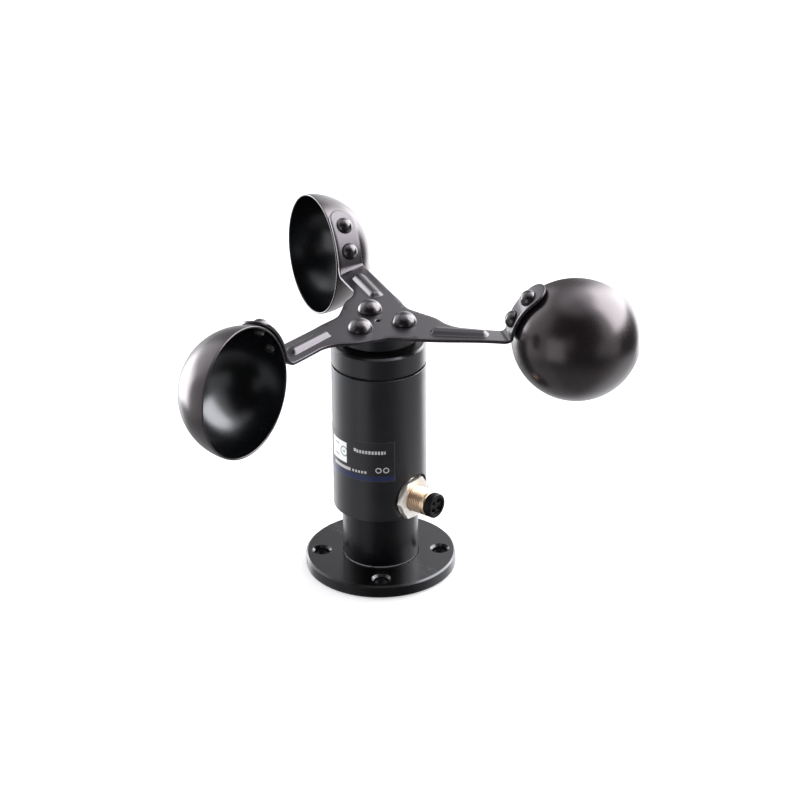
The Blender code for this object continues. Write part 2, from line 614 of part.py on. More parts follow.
def arm_sections():
    """(centre, across, normal, width) from the arm's end round the bend and up the ear."""
    sections = []
    arm_across = Vector((math.sin(EAR_TILT), math.cos(EAR_TILT), ARM_TWIST)).normalized()
    ear_across = ear_section(BEND_END)[1]
    for n in range(BEND_STEPS + 1):
        t = n / BEND_STEPS
        turn = t * (math.pi / 2 - BEND_END)
        centre = Vector((BEND_OUT + BEND_R * math.sin(turn), EAR_SIDE - ARM_SHIFT * (1 - t),
                         BEND_Z - BEND_R * math.cos(turn)))
        across = arm_across.lerp(ear_across, t).normalized()
        normal = Vector((-math.sin(turn), 0, math.cos(turn)))
        normal = (normal - across * normal.dot(across)).normalized()
        sections.append((centre, across, normal, ARM_W + (EAR_W - ARM_W) * t))
    straight_end = EAR_TIP - (EAR_W / 2) / EAR_MID_R
    for n in range(1, EAR_STEPS + 1):
        angle = BEND_END + (straight_end - BEND_END) * n / EAR_STEPS
        sections.append((*ear_section(angle), EAR_W))
    for part in TIP_PARTS:
        angle = straight_end + (EAR_TIP - straight_end) * part
        sections.append((*ear_section(angle), EAR_W * math.sqrt(1 - part * part)))
    return sections


def section_corners(section, k):
    """Upper and lower corner on the convex side, then lower and upper on the other."""
    centre, across, normal, width = section
    return [arm_point(*(centre + across * width / 2 * edge + normal * PLATE_T / 2 * face), k)
            for edge, face in ((1, 1), (1, -1), (-1, -1), (-1, 1))]


def plate_column(out, side, k):
    """Upper and lower point of the plate's edge."""
    rise = twist(out, side)
    return (arm_point(out, side, PLATE_TOP_Z + rise, k),
            arm_point(out, side, PLATE_BOT_Z + rise, k))


def spider_shape():
    shape = bmesh.new()
    sections = arm_sections()
    upper, lower, ends = [], [], []
    for k in range(3):
        end = section_corners(sections[0], k)
        columns = [plate_column(*point, k) for point in CONVEX_EDGE]
        columns += [(end[0], end[1]), (end[3], end[2])]
        columns += [plate_column(*point, k) for point in OPENING_EDGE]
        ends.append(len(upper) + len(CONVEX_EDGE))
        for top, bottom in columns:
            upper.append(shape.verts.new(top))
            lower.append(shape.verts.new(bottom))
    flats = [shape.faces.new(upper), shape.faces.new(list(reversed(lower)))]
    for i in range(len(upper)):
        if i not in ends:
            j = (i + 1) % len(upper)
            shape.faces.new((lower[i], lower[j], upper[j], upper[i]))
    for k, i in enumerate(ends):
        rings = [[upper[i], lower[i], lower[i + 1], upper[i + 1]]]
        for section in sections[1:]:
            rings.append([shape.verts.new(corner) for corner in section_corners(section, k)])
        bridge(shape, rings)
        shape.faces.new(rings[-1])
    bmesh.ops.triangulate(shape, faces=flats)
    return shape


spider = piece("spider_plate", spider_shape(), "black_coated_steel", rotor)

# ------------------------------------------------------------------ spider holes
CUP_RIVET_ANGLES = (21.2, 45.4)     # ear angles of rivets a and b
CUP_RIVET_HOLE_R = 1.9
SPIDER_HOLE_Z = (120.0, 126.0)


def rivet_frame(angle, k):
    """Frame in the middle of the ear's thickness, local Z out of the ear."""
    centre, _, normal = ear_section(math.radians(angle))
    origin = arm_point(*centre, k)
    return frame_along(origin, arm_point(*(centre + normal), k) - origin)


def rivet_frames(k):
    return [rivet_frame(angle, k) for angle in CUP_RIVET_ANGLES]


spider_holes = rod(1.2, *SPIDER_HOLE_Z, steps=8)
rod(HUB_RIVET_HOLE_R, *SPIDER_HOLE_Z, steps=10, places=HUB_RIVET_SPOTS, shape=spider_holes)
for k in range(3):
    rod(CUP_RIVET_HOLE_R, -3.0, 3.0, steps=8, places=rivet_frames(k), shape=spider_holes)
cut(spider, tool("spider_hole_cutters", spider_holes, rotor))

# ------------------------------------------------------------------ stiffening beads
BEAD_SIDE = 9.3
BEAD_OUT = (28.7, 48.0)         # centres of the rounded ends
BEAD_H = 1.9
# (half-width, z) from the bottom up
BEAD_BODY = ((3.2, PLATE_TOP_Z - 0.5), (3.2, PLATE_TOP_Z + 0.05), (1.3, PLATE_TOP_Z + BEAD_H))
BEAD_HOLLOW = ((2.6, PLATE_BOT_Z - 0.5), (2.6, PLATE_BOT_Z), (0.8, PLATE_BOT_Z + BEAD_H - 0.15))


def beads(levels):
    """A long rounded frustum on each arm that follows the arm's twist."""
    shape = bmesh.new()
    for k in range(3):
        rings = []
        for half_width, z in levels:
            ring = []
            for end, start in ((BEAD_OUT[1], 90.0), (BEAD_OUT[0], 270.0)):
                for n in range(5):
                    offset = polar(half_width, start - 45.0 * n)
                    out, side = end + offset.x, BEAD_SIDE + offset.y
                    ring.append(arm_point(out, side, z + twist(out, side), k))
            rings.append(ring)
        loft(shape, rings)
    return shape


add_boolean(spider, "beads", "UNION", tool("bead_bodies", beads(BEAD_BODY), rotor))
cut(spider, tool("bead_hollows", beads(BEAD_HOLLOW), rotor))

# ------------------------------------------------------------------ hub rivets
HUB_RIVET_R = HUB_RIVET_HOLE_R - GAP
HUB_RIVET_BOT_Z = 117.0
HUB_RIVET_HEAD_Z = PLATE_TOP_Z + GAP
HUB_RIVET_HEAD_R = 5.7
HUB_RIVET_HEAD_H = 4.8

for n, spot in enumerate(HUB_RIVET_SPOTS, 1):
    piece(f"hub_rivet_{n}", turned(
        [(0, HUB_RIVET_BOT_Z), (HUB_RIVET_R, HUB_RIVET_BOT_Z), (HUB_RIVET_R, HUB_RIVET_HEAD_Z)]
        + dome_profile(HUB_RIVET_HEAD_R, HUB_RIVET_HEAD_H, (0, 25, 50, 72), HUB_RIVET_HEAD_Z),
        steps=12), "black_rivet", rotor, spot)

# ------------------------------------------------------------------ cups
CUP_R = 28.95
CUP_DEPTH = 28.5
CUP_WALL = 1.0
CUP_TOE_IN = 4.1                # opening turned towards the spindle
CUP_LIFT = math.radians(3.0)    # opening tipped up
CUP_RINGS = 6
CUP_ANGLES = [90.0 * n / CUP_RINGS for n in range(CUP_RINGS)]
CUP_PROFILE = (
    dome_profile(CUP_R - CUP_WALL, CUP_DEPTH - CUP_WALL, CUP_ANGLES)[::-1]
    + dome_profile(CUP_R, CUP_DEPTH, CUP_ANGLES))

CUP_RIVET_R = CUP_RIVET_HOLE_R - GAP
CUP_RIVET_HEAD_R = 3.95
CUP_RIVET_HEAD_H = 3.1
CUP_RIVET_HEAD_Z = PLATE_T / 2 + GAP
TAIL_ALLOWANCE = 1.25           # shank length beyond the plate's and the cup's thickness
TAIL_Z = -(PLATE_T / 2 + CUP_WALL + TAIL_ALLOWANCE)
CUP_RIVET_PROFILE = [
    (0, TAIL_Z - 1.1), (1.8, TAIL_Z - 1.1), (2.4, TAIL_Z - 0.5), (2.4, TAIL_Z),
    (CUP_RIVET_R, TAIL_Z), (CUP_RIVET_R, CUP_RIVET_HEAD_Z),
] + dome_profile(CUP_RIVET_HEAD_R, CUP_RIVET_HEAD_H, (0, 30, 62), CUP_RIVET_HEAD_Z)


def cup_frame(k):
    """Local Z points out of the dome, away from the opening."""
    level = polar(1.0, CUP_AZ + 120.0 * k + CUP_TOE_IN + 90.0)
    opening = level * math.cos(CUP_LIFT) + Vector((0, 0, 1)) * math.sin(CUP_LIFT)
    return frame_along(arm_point(CUP_CIRCLE_R, 0, CUP_Z, k), -opening)


for k in range(3):
    name = f"cup_{k + 1}"
    cup = piece(name, turned(CUP_PROFILE, steps=24), "black_coated_steel", rotor, cup_frame(k))
    cup_holes = rod(CUP_RIVET_HOLE_R, -6.0, 3.0, steps=8, places=rivet_frames(k))
    cut(cup, tool(name + "_hole_cutters", cup_holes, rotor))
    for letter, frame in zip("ab", rivet_frames(k)):
        piece(f"{name}_rivet_{letter}", turned(CUP_RIVET_PROFILE, steps=10),
              "black_rivet", rotor, frame)

bpy.context.view_layer.update()
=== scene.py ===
"""Looks for a three-cup anemometer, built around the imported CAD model.

The sensor stands upright on Z with its flange on the floor; the rotor turns round Z on top.
Every visible CAD node is replaced by a finer mesh in the same place; the inner parts keep
their CAD shape and get their own materials. Lengths are written in millimetres and turned
into metres when a mesh is made. Azimuths are in degrees from +X towards +Y.
"""

import math

import bmesh
import bpy
import numpy as np
from mathutils import Matrix, Vector
from mathutils.geometry import delaunay_2d_cdt


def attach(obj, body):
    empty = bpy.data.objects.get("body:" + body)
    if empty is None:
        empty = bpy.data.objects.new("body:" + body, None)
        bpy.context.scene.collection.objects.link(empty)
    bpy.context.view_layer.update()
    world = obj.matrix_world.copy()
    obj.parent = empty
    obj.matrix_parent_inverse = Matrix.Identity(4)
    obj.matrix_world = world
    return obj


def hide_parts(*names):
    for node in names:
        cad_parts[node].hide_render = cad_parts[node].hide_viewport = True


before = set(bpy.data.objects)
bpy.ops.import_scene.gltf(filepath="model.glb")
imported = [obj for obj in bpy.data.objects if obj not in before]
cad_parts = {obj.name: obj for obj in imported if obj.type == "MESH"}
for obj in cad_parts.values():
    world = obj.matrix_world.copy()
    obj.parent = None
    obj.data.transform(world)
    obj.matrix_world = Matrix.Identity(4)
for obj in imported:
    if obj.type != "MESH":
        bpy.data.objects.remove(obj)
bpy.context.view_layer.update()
MM = 0.001
SCENE = bpy.context.scene

# ------------------------------------------------------------------ shared sizes (mm, degrees)
HOUSING_R = 21.5
BASE_SCREW_CIRCLE_R, BASE_SCREW_AZ = 10.0, 30.0
HUB_RIVET_CIRCLE_R, HUB_RIVET_AZ = 11.9, -12.0
CONN_AZ, CONN_Z = -41.0, 40.6                  # the connector's axis points straight out
POCKET_R, POCKET_FLOOR = 11.5, 17.7            # its milled seat; the floor is a distance from Z
CONTACT_CIRCLE_R, CONTACT_AZ = 2.6, 45.0

CUP_AZ, CUP_CIRCLE_R, CUP_Z = -9.35, 88.75, 121.2
CUP_R, CUP_DEPTH, CUP_WALL = 28.95, 28.5, 0.9
CUP_TOE_IN, CUP_LIFT = 4.1, 3.0                # turn and upward tilt of a cup's opening
CUP_RIVET_DEG = (21.2, 45.4)                   # places along the ear's arc

PLATE_LOW, PLATE_TOP = 121.9, 123.4
PLATE_T = PLATE_TOP - PLATE_LOW
ARM_W, ARM_TWIST = 14.4, 0.10                  # twist as rise over width
BEND_R = 3.5                                   # bend from the arm up into the ear
EAR_SIDE, EAR_TILT = 9.0, math.radians(15.0)
EAR_IN_R, EAR_W, EAR_TIP_DEG = 28.15, 13.0, 63.0

# Rib pressed up in each arm: extent of its flat top (outward, sideways), height, and the
# run of the slopes past that top (inner and outer end, low and high side).
RIB_OUT, RIB_SIDE, RIB_H = (27.3, 48.1), (8.1, 9.3), 2.1
RIB_END_RUN, RIB_SIDE_RUN = (2.6, 2.8), (2.3, 3.4)
RIB_ROUNDING = 0.32                            # share of the slope rounded at top and at foot


# ------------------------------------------------------------------ node helpers
class Nodes:
    """Short ways to add and link nodes in one node tree."""

    def __init__(self, tree):
        self.tree = tree

    def new(self, kind, *inputs, **props):
        """A node with its first inputs filled by values or links."""
        node = self.tree.nodes.new(kind)
        for key, value in props.items():
            setattr(node, key, value)
        for socket, value in zip(node.inputs, inputs):
            self.put(socket, value)
        return node

    def put(self, socket, value):
        if hasattr(value, "links"):
            self.tree.links.new(value, socket)
        else:
            socket.default_value = value

    def math(self, operation, a, b=0.0, c=0.0):
        return self.new("ShaderNodeMath", a, b, c, operation=operation).outputs[0]

    def mul(self, a, b):
        return self.math("MULTIPLY", a, b)

    def add(self, total, *values):
        for value in values:
            total = self.math("ADD", total, value)
        return total

    def hypot(self, a, b):
        return self.math("SQRT", self.add(self.mul(a, a), self.mul(b, b)))

    def object_coords(self):
        return self.new("ShaderNodeTexCoord").outputs["Object"]

    def split(self, vector):
        return tuple(self.new("ShaderNodeSeparateXYZ", vector).outputs)

    def combine(self, x, y, z):
        return self.new("ShaderNodeCombineXYZ", x, y, z).outputs[0]

    def noise(self, vector, scale, detail=2.0, rough=0.5):
        node = self.new("ShaderNodeTexNoise", vector)
        node.inputs["Scale"].default_value = scale
        node.inputs["Detail"].default_value = detail
        node.inputs["Roughness"].default_value = rough
        return node.outputs["Fac"]

    def remap(self, value, source, target=(0.0, 1.0), **props):
        """Maps the source range to the target range, clamped."""
        node = self.new("ShaderNodeMapRange", value, *source, *target, clamp=True, **props)
        return node.outputs[0]

    def mix(self, factor, first, second):
        node = self.new("ShaderNodeMix", factor, data_type="RGBA")
        for index, colour in ((6, first), (7, second)):
            self.put(node.inputs[index], colour if hasattr(colour, "links") else (*colour, 1.0))
        return node.outputs[2]

    def mottle(self, noise, first, second, span=(0.3, 0.7)):
        """Two colours mixed by a noise; span is the part of its range that is used."""
        return self.mix(self.remap(noise, span), first, second)

    def bump(self, height, strength, distance):
        node = self.new("ShaderNodeBump")
        node.inputs["Strength"].default_value = strength
        node.inputs["Distance"].default_value = distance
        self.put(node.inputs["Height"], height)
        return node.outputs[0]


class Material(Nodes):
    """The node tree of a new material."""

    def __init__(self, name):
        self.mat = bpy.data.materials.new(name)
        self.mat.use_nodes = True
        super().__init__(self.mat.node_tree)
        self.bsdf = self.tree.nodes["Principled BSDF"]

    def set(self, **values):
        """Fills inputs of the main shader and returns the material."""
        for key, value in values.items():
            self.put(self.bsdf.inputs[key.replace("_", " ")], value)
        return self.mat


def scaled(colour, factor):
    return tuple(c * factor for c in colour)


# ------------------------------------------------------------------ materials
def worn_and_sheen_edges(nodes, amount):
    """Mask of outside edges, broken up by noise, where a finish wears first; it also lightens them
    as a painted highlight where edges catch light.
    """
    pointiness = nodes.new("ShaderNodeNewGeometry").outputs["Pointiness"]
    edge = nodes.remap(pointiness, (0.515, 0.56))
    broken = nodes.remap(nodes.noise(nodes.object_coords(), scale=900.0, detail=3.0), (0.42, 0.62))
    return nodes.mul(nodes.mul(edge, broken), amount)


def turned_finish(nodes, base, rough, marks, fine_share, grain_share, radius_factor=None):
    """Height, tone and roughness of turned metal, with marks running round Z."""
    coords = nodes.object_coords()
    x, y, z = nodes.split(coords)
    radius = nodes.hypot(x, y)
    if radius_factor is not None:
        radius = nodes.mul(radius, radius_factor)
    # the angle is scaled down, so that the noise is drawn out round the axis
    angle = nodes.mul(nodes.math("ARCTAN2", y, x), 0.00012)
    lathe_coords = nodes.combine(radius, angle, z)
    fine = nodes.noise(lathe_coords, scale=5200.0, rough=0.6)
    broad = nodes.noise(lathe_coords, scale=900.0)
    grain = nodes.noise(coords, scale=2600.0, rough=0.6)
    cloud = nodes.noise(coords, scale=55.0, detail=3.0, rough=0.55)
    height = nodes.add(nodes.mul(fine, fine_share),
                       nodes.add(nodes.mul(broad, 0.35), nodes.mul(grain, grain_share)))
    tone = nodes.mottle(cloud, base, scaled(base, 1.35))
    spread = 0.02 * marks
    roughness = nodes.add(nodes.remap(broad, (0.25, 0.75), (rough - spread, rough + spread)),
                          nodes.remap(cloud, (0.3, 0.7), (-0.02, 0.03)))
    return height, tone, roughness


def mat_anodised(name, base, rough, marks, ior=1.54):
    """Black anodised turned aluminium with lighter edges: partly wear, partly painted highlight."""
    nodes = Material(name)
    height, tone, roughness = turned_finish(
        nodes, base, rough, marks, fine_share=0.55, grain_share=0.35, radius_factor=1.0)
    # edges lightened: partly wear, partly painted highlight
    tone = nodes.mix(worn_and_sheen_edges(nodes, amount=0.35), tone, (0.10, 0.10, 0.105))
    return nodes.set(Base_Color=tone, Roughness=roughness, Metallic=0.0, IOR=ior,
                     Specular_Tint=(0.96, 0.97, 1.0, 1.0),
                     Normal=nodes.bump(height, strength=0.05 * marks, distance=0.00003))


def mat_housing():
    """Anodised housing with fainter turning marks and no lighter edges."""
    nodes = Material("anodised_housing")
    height, tone, roughness = turned_finish(
        nodes, base=(0.0070, 0.0070, 0.0085), rough=0.33, marks=1.0,
        fine_share=0.5, grain_share=0.04)
    return nodes.set(Base_Color=tone, Roughness=roughness, IOR=1.56,
                     Specular_Tint=(0.95, 0.96, 1.0, 1.0),
                     Normal=nodes.bump(height, strength=0.02, distance=0.00003))


def mat_post_painted_light():
    """Anodised post with painted light: a base colour darker than the housing's as painted shade
    under the housing, and a thin bright line just above the flange as a painted highlight.
    """
    line_z, line_half = 6.28 * MM, 0.24 * MM
    # darker base colour: painted shade, as the post stands under the housing
    mat = mat_anodised("anodised_post_painted_light", base=(0.0022, 0.0022, 0.0028), rough=0.29, marks=0.8,
                       ior=1.42)
    nodes = Nodes(mat.node_tree)
    coords = nodes.object_coords()
    # painted highlight: a thin bright ring just above the flange
    line = nodes.math("COMPARE", nodes.split(coords)[2], line_z, line_half)
    patch = nodes.remap(nodes.noise(coords, scale=420.0), (0.30, 0.50), (0.45, 1.0))
    painted_highlight = nodes.new("ShaderNodeMath", line, patch, operation="MULTIPLY").outputs[0]
    base_colour = nodes.tree.nodes["Principled BSDF"].inputs["Base Color"]
    finish = base_colour.links[0].from_socket
    nodes.put(base_colour, nodes.mix(painted_highlight, finish, (0.42, 0.42, 0.43)))
    return mat


def mat_coated(name, base, rough, peel, edge_wear_and_sheen, tint=(1.0, 0.93, 0.97), ior=1.6):
    """Black coated sheet steel: faint orange peel, dust specks and lighter edges, partly wear and
    partly painted highlight.
    """
    nodes = Material(name)
    coords = nodes.object_coords()
    peel_broad = nodes.noise(coords, scale=620.0)
    peel_fine = nodes.noise(coords, scale=2400.0, rough=0.6)
    cloud = nodes.noise(coords, scale=38.0, detail=3.0, rough=0.55)
    speck = nodes.remap(nodes.noise(coords, scale=3600.0, detail=1.0), (0.70, 0.78))
    tone = nodes.mottle(cloud, base, scaled(base, 1.5))
    tone = nodes.mix(nodes.mul(speck, 0.25), tone, (0.07, 0.065, 0.065))
    # edges lightened: partly wear, partly painted highlight
    if edge_wear_and_sheen:
        tone = nodes.mix(worn_and_sheen_edges(nodes, edge_wear_and_sheen), tone, (0.12, 0.115, 0.115))
    roughness = nodes.add(nodes.remap(cloud, (0.25, 0.75), (rough - 0.03, rough + 0.05)),
                          nodes.remap(peel_fine, (0.3, 0.7), (-0.02, 0.02)))
    height = nodes.add(peel_broad, nodes.mul(peel_fine, 0.35))
    return nodes.set(Base_Color=tone, Roughness=roughness, Metallic=0.0, IOR=ior,
                     Specular_Tint=(*tint, 1.0),
                     Normal=nodes.bump(height, strength=0.10 * peel, distance=0.00006))


def mat_metal(name, colour, rough, grain_scale=2600.0, strength=0.15, tint=None, stretch=None,
              metallic=1.0):
    """Bare or plated metal; stretch scales the grain's coordinates along x, y and z."""
    nodes = Material(name)
    coords = grain_coords = nodes.object_coords()
    if stretch is not None:
        axes = zip(nodes.split(coords), stretch)
        grain_coords = nodes.combine(*[nodes.mul(axis, factor) for axis, factor in axes])
    grain = nodes.noise(grain_coords, grain_scale, detail=3.0, rough=0.6)
    cloud = nodes.noise(coords, scale=160.0, detail=3.0, rough=0.6)
    tone = nodes.mottle(cloud, colour, tint or scaled(colour, 0.78), span=(0.3, 0.72))
    return nodes.set(
        Base_Color=tone, Metallic=metallic,
        Roughness=nodes.remap(cloud, (0.25, 0.75), (rough - 0.05, rough + 0.08)),
        Normal=nodes.bump(grain, strength, distance=0.00004))


def mat_plain(name, colour, rough=0.5, grain_scale=1500.0, strength=0.2, spread=0.25, ior=1.5):
    """Moulded plastic or rubber with a fine grain and slight colour variation."""
    nodes = Material(name)
    coords = nodes.object_coords()
    grain = nodes.noise(coords, grain_scale, detail=3.0, rough=0.6)
    cloud = nodes.noise(coords, scale=90.0, detail=3.0, rough=0.6)
    lighter = tuple(min(1.0, c * (1 + spread)) for c in colour)
    return nodes.set(
        Base_Color=nodes.mottle(cloud, colour, lighter), IOR=ior,
        Roughness=nodes.remap(cloud, (0.25, 0.75), (rough - 0.05, rough + 0.06)),
        Normal=nodes.bump(grain, strength, distance=0.00004))


def mat_milled_seat_shaded():
    """Milled seat with end mill rings round the connector's axis; its dark brown is painted shade
    for the pocket's shadowed floor.
    """
    nodes = Material("milled_floor_painted_shade")
    coords = nodes.object_coords()
    x, y, z = nodes.split(coords)
    azimuth = math.radians(CONN_AZ)
    sideways = nodes.add(nodes.mul(x, -math.sin(azimuth)), nodes.mul(y, math.cos(azimuth)))
    upward = nodes.math("SUBTRACT", z, CONN_Z * MM)
    distance = nodes.hypot(sideways, upward)
    rings = nodes.noise(nodes.combine(distance, 0.0, 0.0), scale=5000.0, rough=0.6)
    cloud = nodes.noise(coords, scale=260.0, detail=3.0, rough=0.6)
    # dark brown: painted shade in the pocket
    tone = nodes.mottle(cloud, (0.030, 0.026, 0.023), (0.050, 0.042, 0.036))
    return nodes.set(Base_Color=tone, Metallic=0.3,
                     Roughness=nodes.remap(cloud, (0.25, 0.75), (0.34, 0.46)),
                     Normal=nodes.bump(rings, strength=0.30, distance=0.00003))


def mat_label():
    """Printed film. UV is in millimetres: to the right, and up from the lower edge."""
    nodes = Material("printed_label")
    right, up, _ = nodes.split(nodes.new("ShaderNodeUVMap").outputs[0])

    # each shape is a mask; its arguments are left, right, low, high or centre and radii
    def rect(right0, right1, up0, up1):
        across = nodes.math("COMPARE", right, (right0 + right1) / 2, (right1 - right0) / 2)
        along = nodes.math("COMPARE", up, (up0 + up1) / 2, (up1 - up0) / 2)
        return nodes.mul(across, along)

    def ring(centre_right, centre_up, inner, outer):
        distance = nodes.hypot(nodes.math("SUBTRACT", right, centre_right),
                               nodes.math("SUBTRACT", up, centre_up))
        return nodes.math("COMPARE", distance, (inner + outer) / 2, (outer - inner) / 2)

    def dashes(right0, right1, up0, up1, pitch, share):
        start = nodes.math("SUBTRACT", right, right0)
        phase = nodes.math("FRACT", nodes.math("DIVIDE", start, pitch))
        return nodes.mul(rect(right0, right1, up0, up1), nodes.math("LESS_THAN", phase, share))

    def union(*masks):
        merged = masks[0]
        for mask in masks[1:]:
            merged = nodes.math("MAXIMUM", merged, mask)
        return merged

    coords = nodes.object_coords()
    cloud = nodes.noise(coords, scale=120.0, detail=3.0, rough=0.55)
    fibre = nodes.noise(coords, scale=2500.0)
    black = nodes.mottle(cloud, (0.0085, 0.0085, 0.0115), (0.0125, 0.0125, 0.0160))
    blue = nodes.mottle(cloud, (0.0030, 0.0100, 0.056), (0.0050, 0.0145, 0.074))
    stripe = rect(-1.0, 80.0, 0.25, 2.75)
    panel = rect(21.6, 33.0, 6.9, 17.1)
    white = union(
        # heading with a small block before it
        dashes(38.6, 52.2, 13.9, 15.5, 1.45, 0.66), rect(37.2, 38.4, 14.3, 15.9),
        # two small rings
        ring(48.9, 5.8, 0.95, 1.40), ring(52.4, 5.8, 0.95, 1.40),
        # bar and dashes under the panel
        rect(23.4, 35.2, 3.6, 5.2), dashes(36.2, 43.4, 3.8, 5.0, 1.55, 0.62),
        # four lines of text on the left
        dashes(3.0, 19.0, 15.4, 16.2, 2.6, 0.72), dashes(3.0, 17.0, 12.6, 13.3, 2.1, 0.66),
        dashes(3.0, 18.0, 9.9, 10.6, 2.9, 0.74), dashes(3.0, 15.0, 7.2, 7.9, 1.9, 0.6))
    dial = union(ring(31.3, 12.3, 1.9, 2.6), ring(31.3, 12.3, 0.0, 0.6),
                 rect(24.2, 27.6, 9.0, 9.7), rect(24.2, 27.6, 14.6, 15.3))
    ink = nodes.remap(fibre, (0.2, 0.55), (0.50, 0.80))
    tone = nodes.mix(stripe, black, blue)
    tone = nodes.mix(nodes.mul(white, ink), tone, (0.60, 0.60, 0.61))
    tone = nodes.mix(panel, tone, (0.80, 0.81, 0.81))
    tone = nodes.mix(nodes.mul(dial, panel), tone, (0.26, 0.31, 0.26))
    cut_edge = nodes.math("SUBTRACT", 1.0, rect(0.26, 56.25, 0.18, 19.72))
    tone = nodes.mix(nodes.mul(cut_edge, 0.6), tone, (0.07, 0.07, 0.075))
    return nodes.set(Base_Color=tone, IOR=1.5,
                     Roughness=nodes.remap(cloud, (0.25, 0.75), (0.36, 0.46)),
                     Normal=nodes.bump(fibre, strength=0.06, distance=0.00003))


M_FLANGE = mat_anodised("anodised_flange", base=(0.0020, 0.0018, 0.0021), rough=0.215,
                        marks=0.8, ior=1.47)
M_CAP = mat_anodised("anodised_cap", base=(0.0065, 0.0065, 0.0078), rough=0.33, marks=0.9)
M_HUB = mat_anodised("anodised_hub", base=(0.0050, 0.0055, 0.0058), rough=0.32, marks=0.8)
M_PLATE = mat_coated("coated_plate", base=(0.0065, 0.0052, 0.0070), rough=0.28, peel=0.8,
                     edge_wear_and_sheen=0.15, tint=(1.0, 0.92, 1.0), ior=1.52)
M_CUP = mat_coated("coated_cup", base=(0.0085, 0.0065, 0.0072), rough=0.238, peel=0.35,
                   edge_wear_and_sheen=0.0, tint=(1.0, 0.91, 0.93))
# inside of the cups: the cup coating with a darker base colour, painted shade for the inside of the
# bowl
M_CUP_IN_SHADED = mat_coated("coated_cup_inside_painted_shade", base=(0.0022, 0.0026, 0.0032), rough=0.22, peel=0.35,
                      edge_wear_and_sheen=0.0, tint=(0.95, 0.97, 1.0), ior=1.55)
M_RIVET = mat_coated("coated_rivet", base=(0.0080, 0.0075, 0.0080), rough=0.20, peel=0.5,
                     edge_wear_and_sheen=0.25)
M_RUBBER = mat_plain("black_rubber_seal", (0.006, 0.006, 0.006), rough=0.75,
                     grain_scale=2200.0, strength=0.3)
M_INSERT = mat_plain("moulded_insert", (0.0018, 0.0018, 0.0020), rough=0.50,
                     grain_scale=2200.0, strength=0.12, ior=1.24)
M_NICKEL = mat_metal("bright_nickel", (0.95, 0.93, 0.88), rough=0.42, strength=0.10,
                     tint=(0.90, 0.87, 0.80), metallic=0.80)
M_THREAD = mat_metal("plated_brass_thread", (0.94, 0.73, 0.53), rough=0.31,
                     grain_scale=3000.0, strength=0.10, tint=(0.84, 0.60, 0.40))
M_GOLD = mat_metal("gold_flash", (0.90, 0.66, 0.28), rough=0.22, grain_scale=3000.0, strength=0.1)


# ------------------------------------------------------------------ mesh helpers
def rounded(profile, steps):
    """Rounds the corners of an open (r, z, corner radius) polyline into (r, z) points."""
    out = [profile[0][:2]]
    for before, (*corner, rad), after in zip(profile, profile[1:], profile[2:]):
        point, start, end = Vector(corner), Vector(before[:2]), Vector(after[:2])
        to_start, to_end = (start - point).normalized(), (end - point).normalized()
        angle = math.acos(max(-1.0, min(1.0, to_start.dot(to_end))))
        if rad <= 0 or angle > math.pi - 0.02:
            out.append((point.x, point.y))
            continue
        setback = rad / math.tan(angle / 2)
        setback = min(setback, 0.49 * (start - point).length, 0.49 * (end - point).length)
        rad = setback * math.tan(angle / 2)
        centre = point + (to_start + to_end).normalized() * (rad / math.sin(angle / 2))
        first = point + to_start * setback - centre
        last = point + to_end * setback - centre
        first_angle = math.atan2(first.y, first.x)
        sweep = math.atan2(last.y, last.x) - first_angle
        while sweep > math.pi:
            sweep -= 2 * math.pi
        while sweep < -math.pi:
            sweep += 2 * math.pi
        for k in range(steps + 1):
            turn = first_angle + sweep * k / steps
            out.append((centre.x + rad * math.cos(turn), centre.y + rad * math.sin(turn)))
    out.append(profile[-1][:2])
    return out


def lathe(profile, segments, closed=False):
    """(r, z) points turned round Z. Points on the axis become one vertex."""
    verts, rings = [], []
    for r, z in profile:
        if r < 1e-7:
            rings.append([len(verts)])
            verts.append((0.0, 0.0, z))
        else:
            rings.append(list(range(len(verts), len(verts) + segments)))
            turns = [2 * math.pi * k / segments for k in range(segments)]
            verts += [(r * math.cos(turn), r * math.sin(turn), z) for turn in turns]
    faces = []
    for low, high in zip(rings, rings[1:] + (rings[:1] if closed else [])):
        for k in range(segments):
            j = (k + 1) % segments
            if len(low) == 1 and len(high) == 1:
                break
            if len(low) == 1:
                faces.append((low[0], high[j], high[k]))
            elif len(high) == 1:
                faces.append((low[k], low[j], high[0]))
            else:
                faces.append((low[k], low[j], high[j], high[k]))
    return verts, faces


def turned(profile, segments, steps=4):
    """A body turned from an (r, z, corner radius) profile."""
    return lathe(rounded(profile, steps), segments)


def turned_ring(profile, segments, steps=4):
    """As turned, with the profile closed on itself; its first corner stays sharp."""
    return lathe(rounded(profile + profile[:1], steps)[:-1], segments, closed=True)


def rod(radius, low, high, segments):
    return lathe([(0, low), (radius, low), (radius, high), (0, high)], segments)


def closed_loft(rings):
    """Skins rings of equal length in turn, and the last back to the first."""
    size = len(rings[0])
    faces = []
    for a in range(len(rings)):
        b = (a + 1) % len(rings)
        for k in range(size):
            j = (k + 1) % size
            faces.append((a * size + k, a * size + j, b * size + j, b * size + k))
    return [vert for ring in rings for vert in ring], faces


def finish_shading(obj, smooth=32.0, weighted=True):
    obj.data.shade_smooth()
    obj.data.set_sharp_from_angle(angle=math.radians(smooth))
    if weighted:
        modifier = obj.modifiers.new("weighted_normals", "WEIGHTED_NORMAL")
        modifier.keep_sharp = True
        modifier.weight = 80


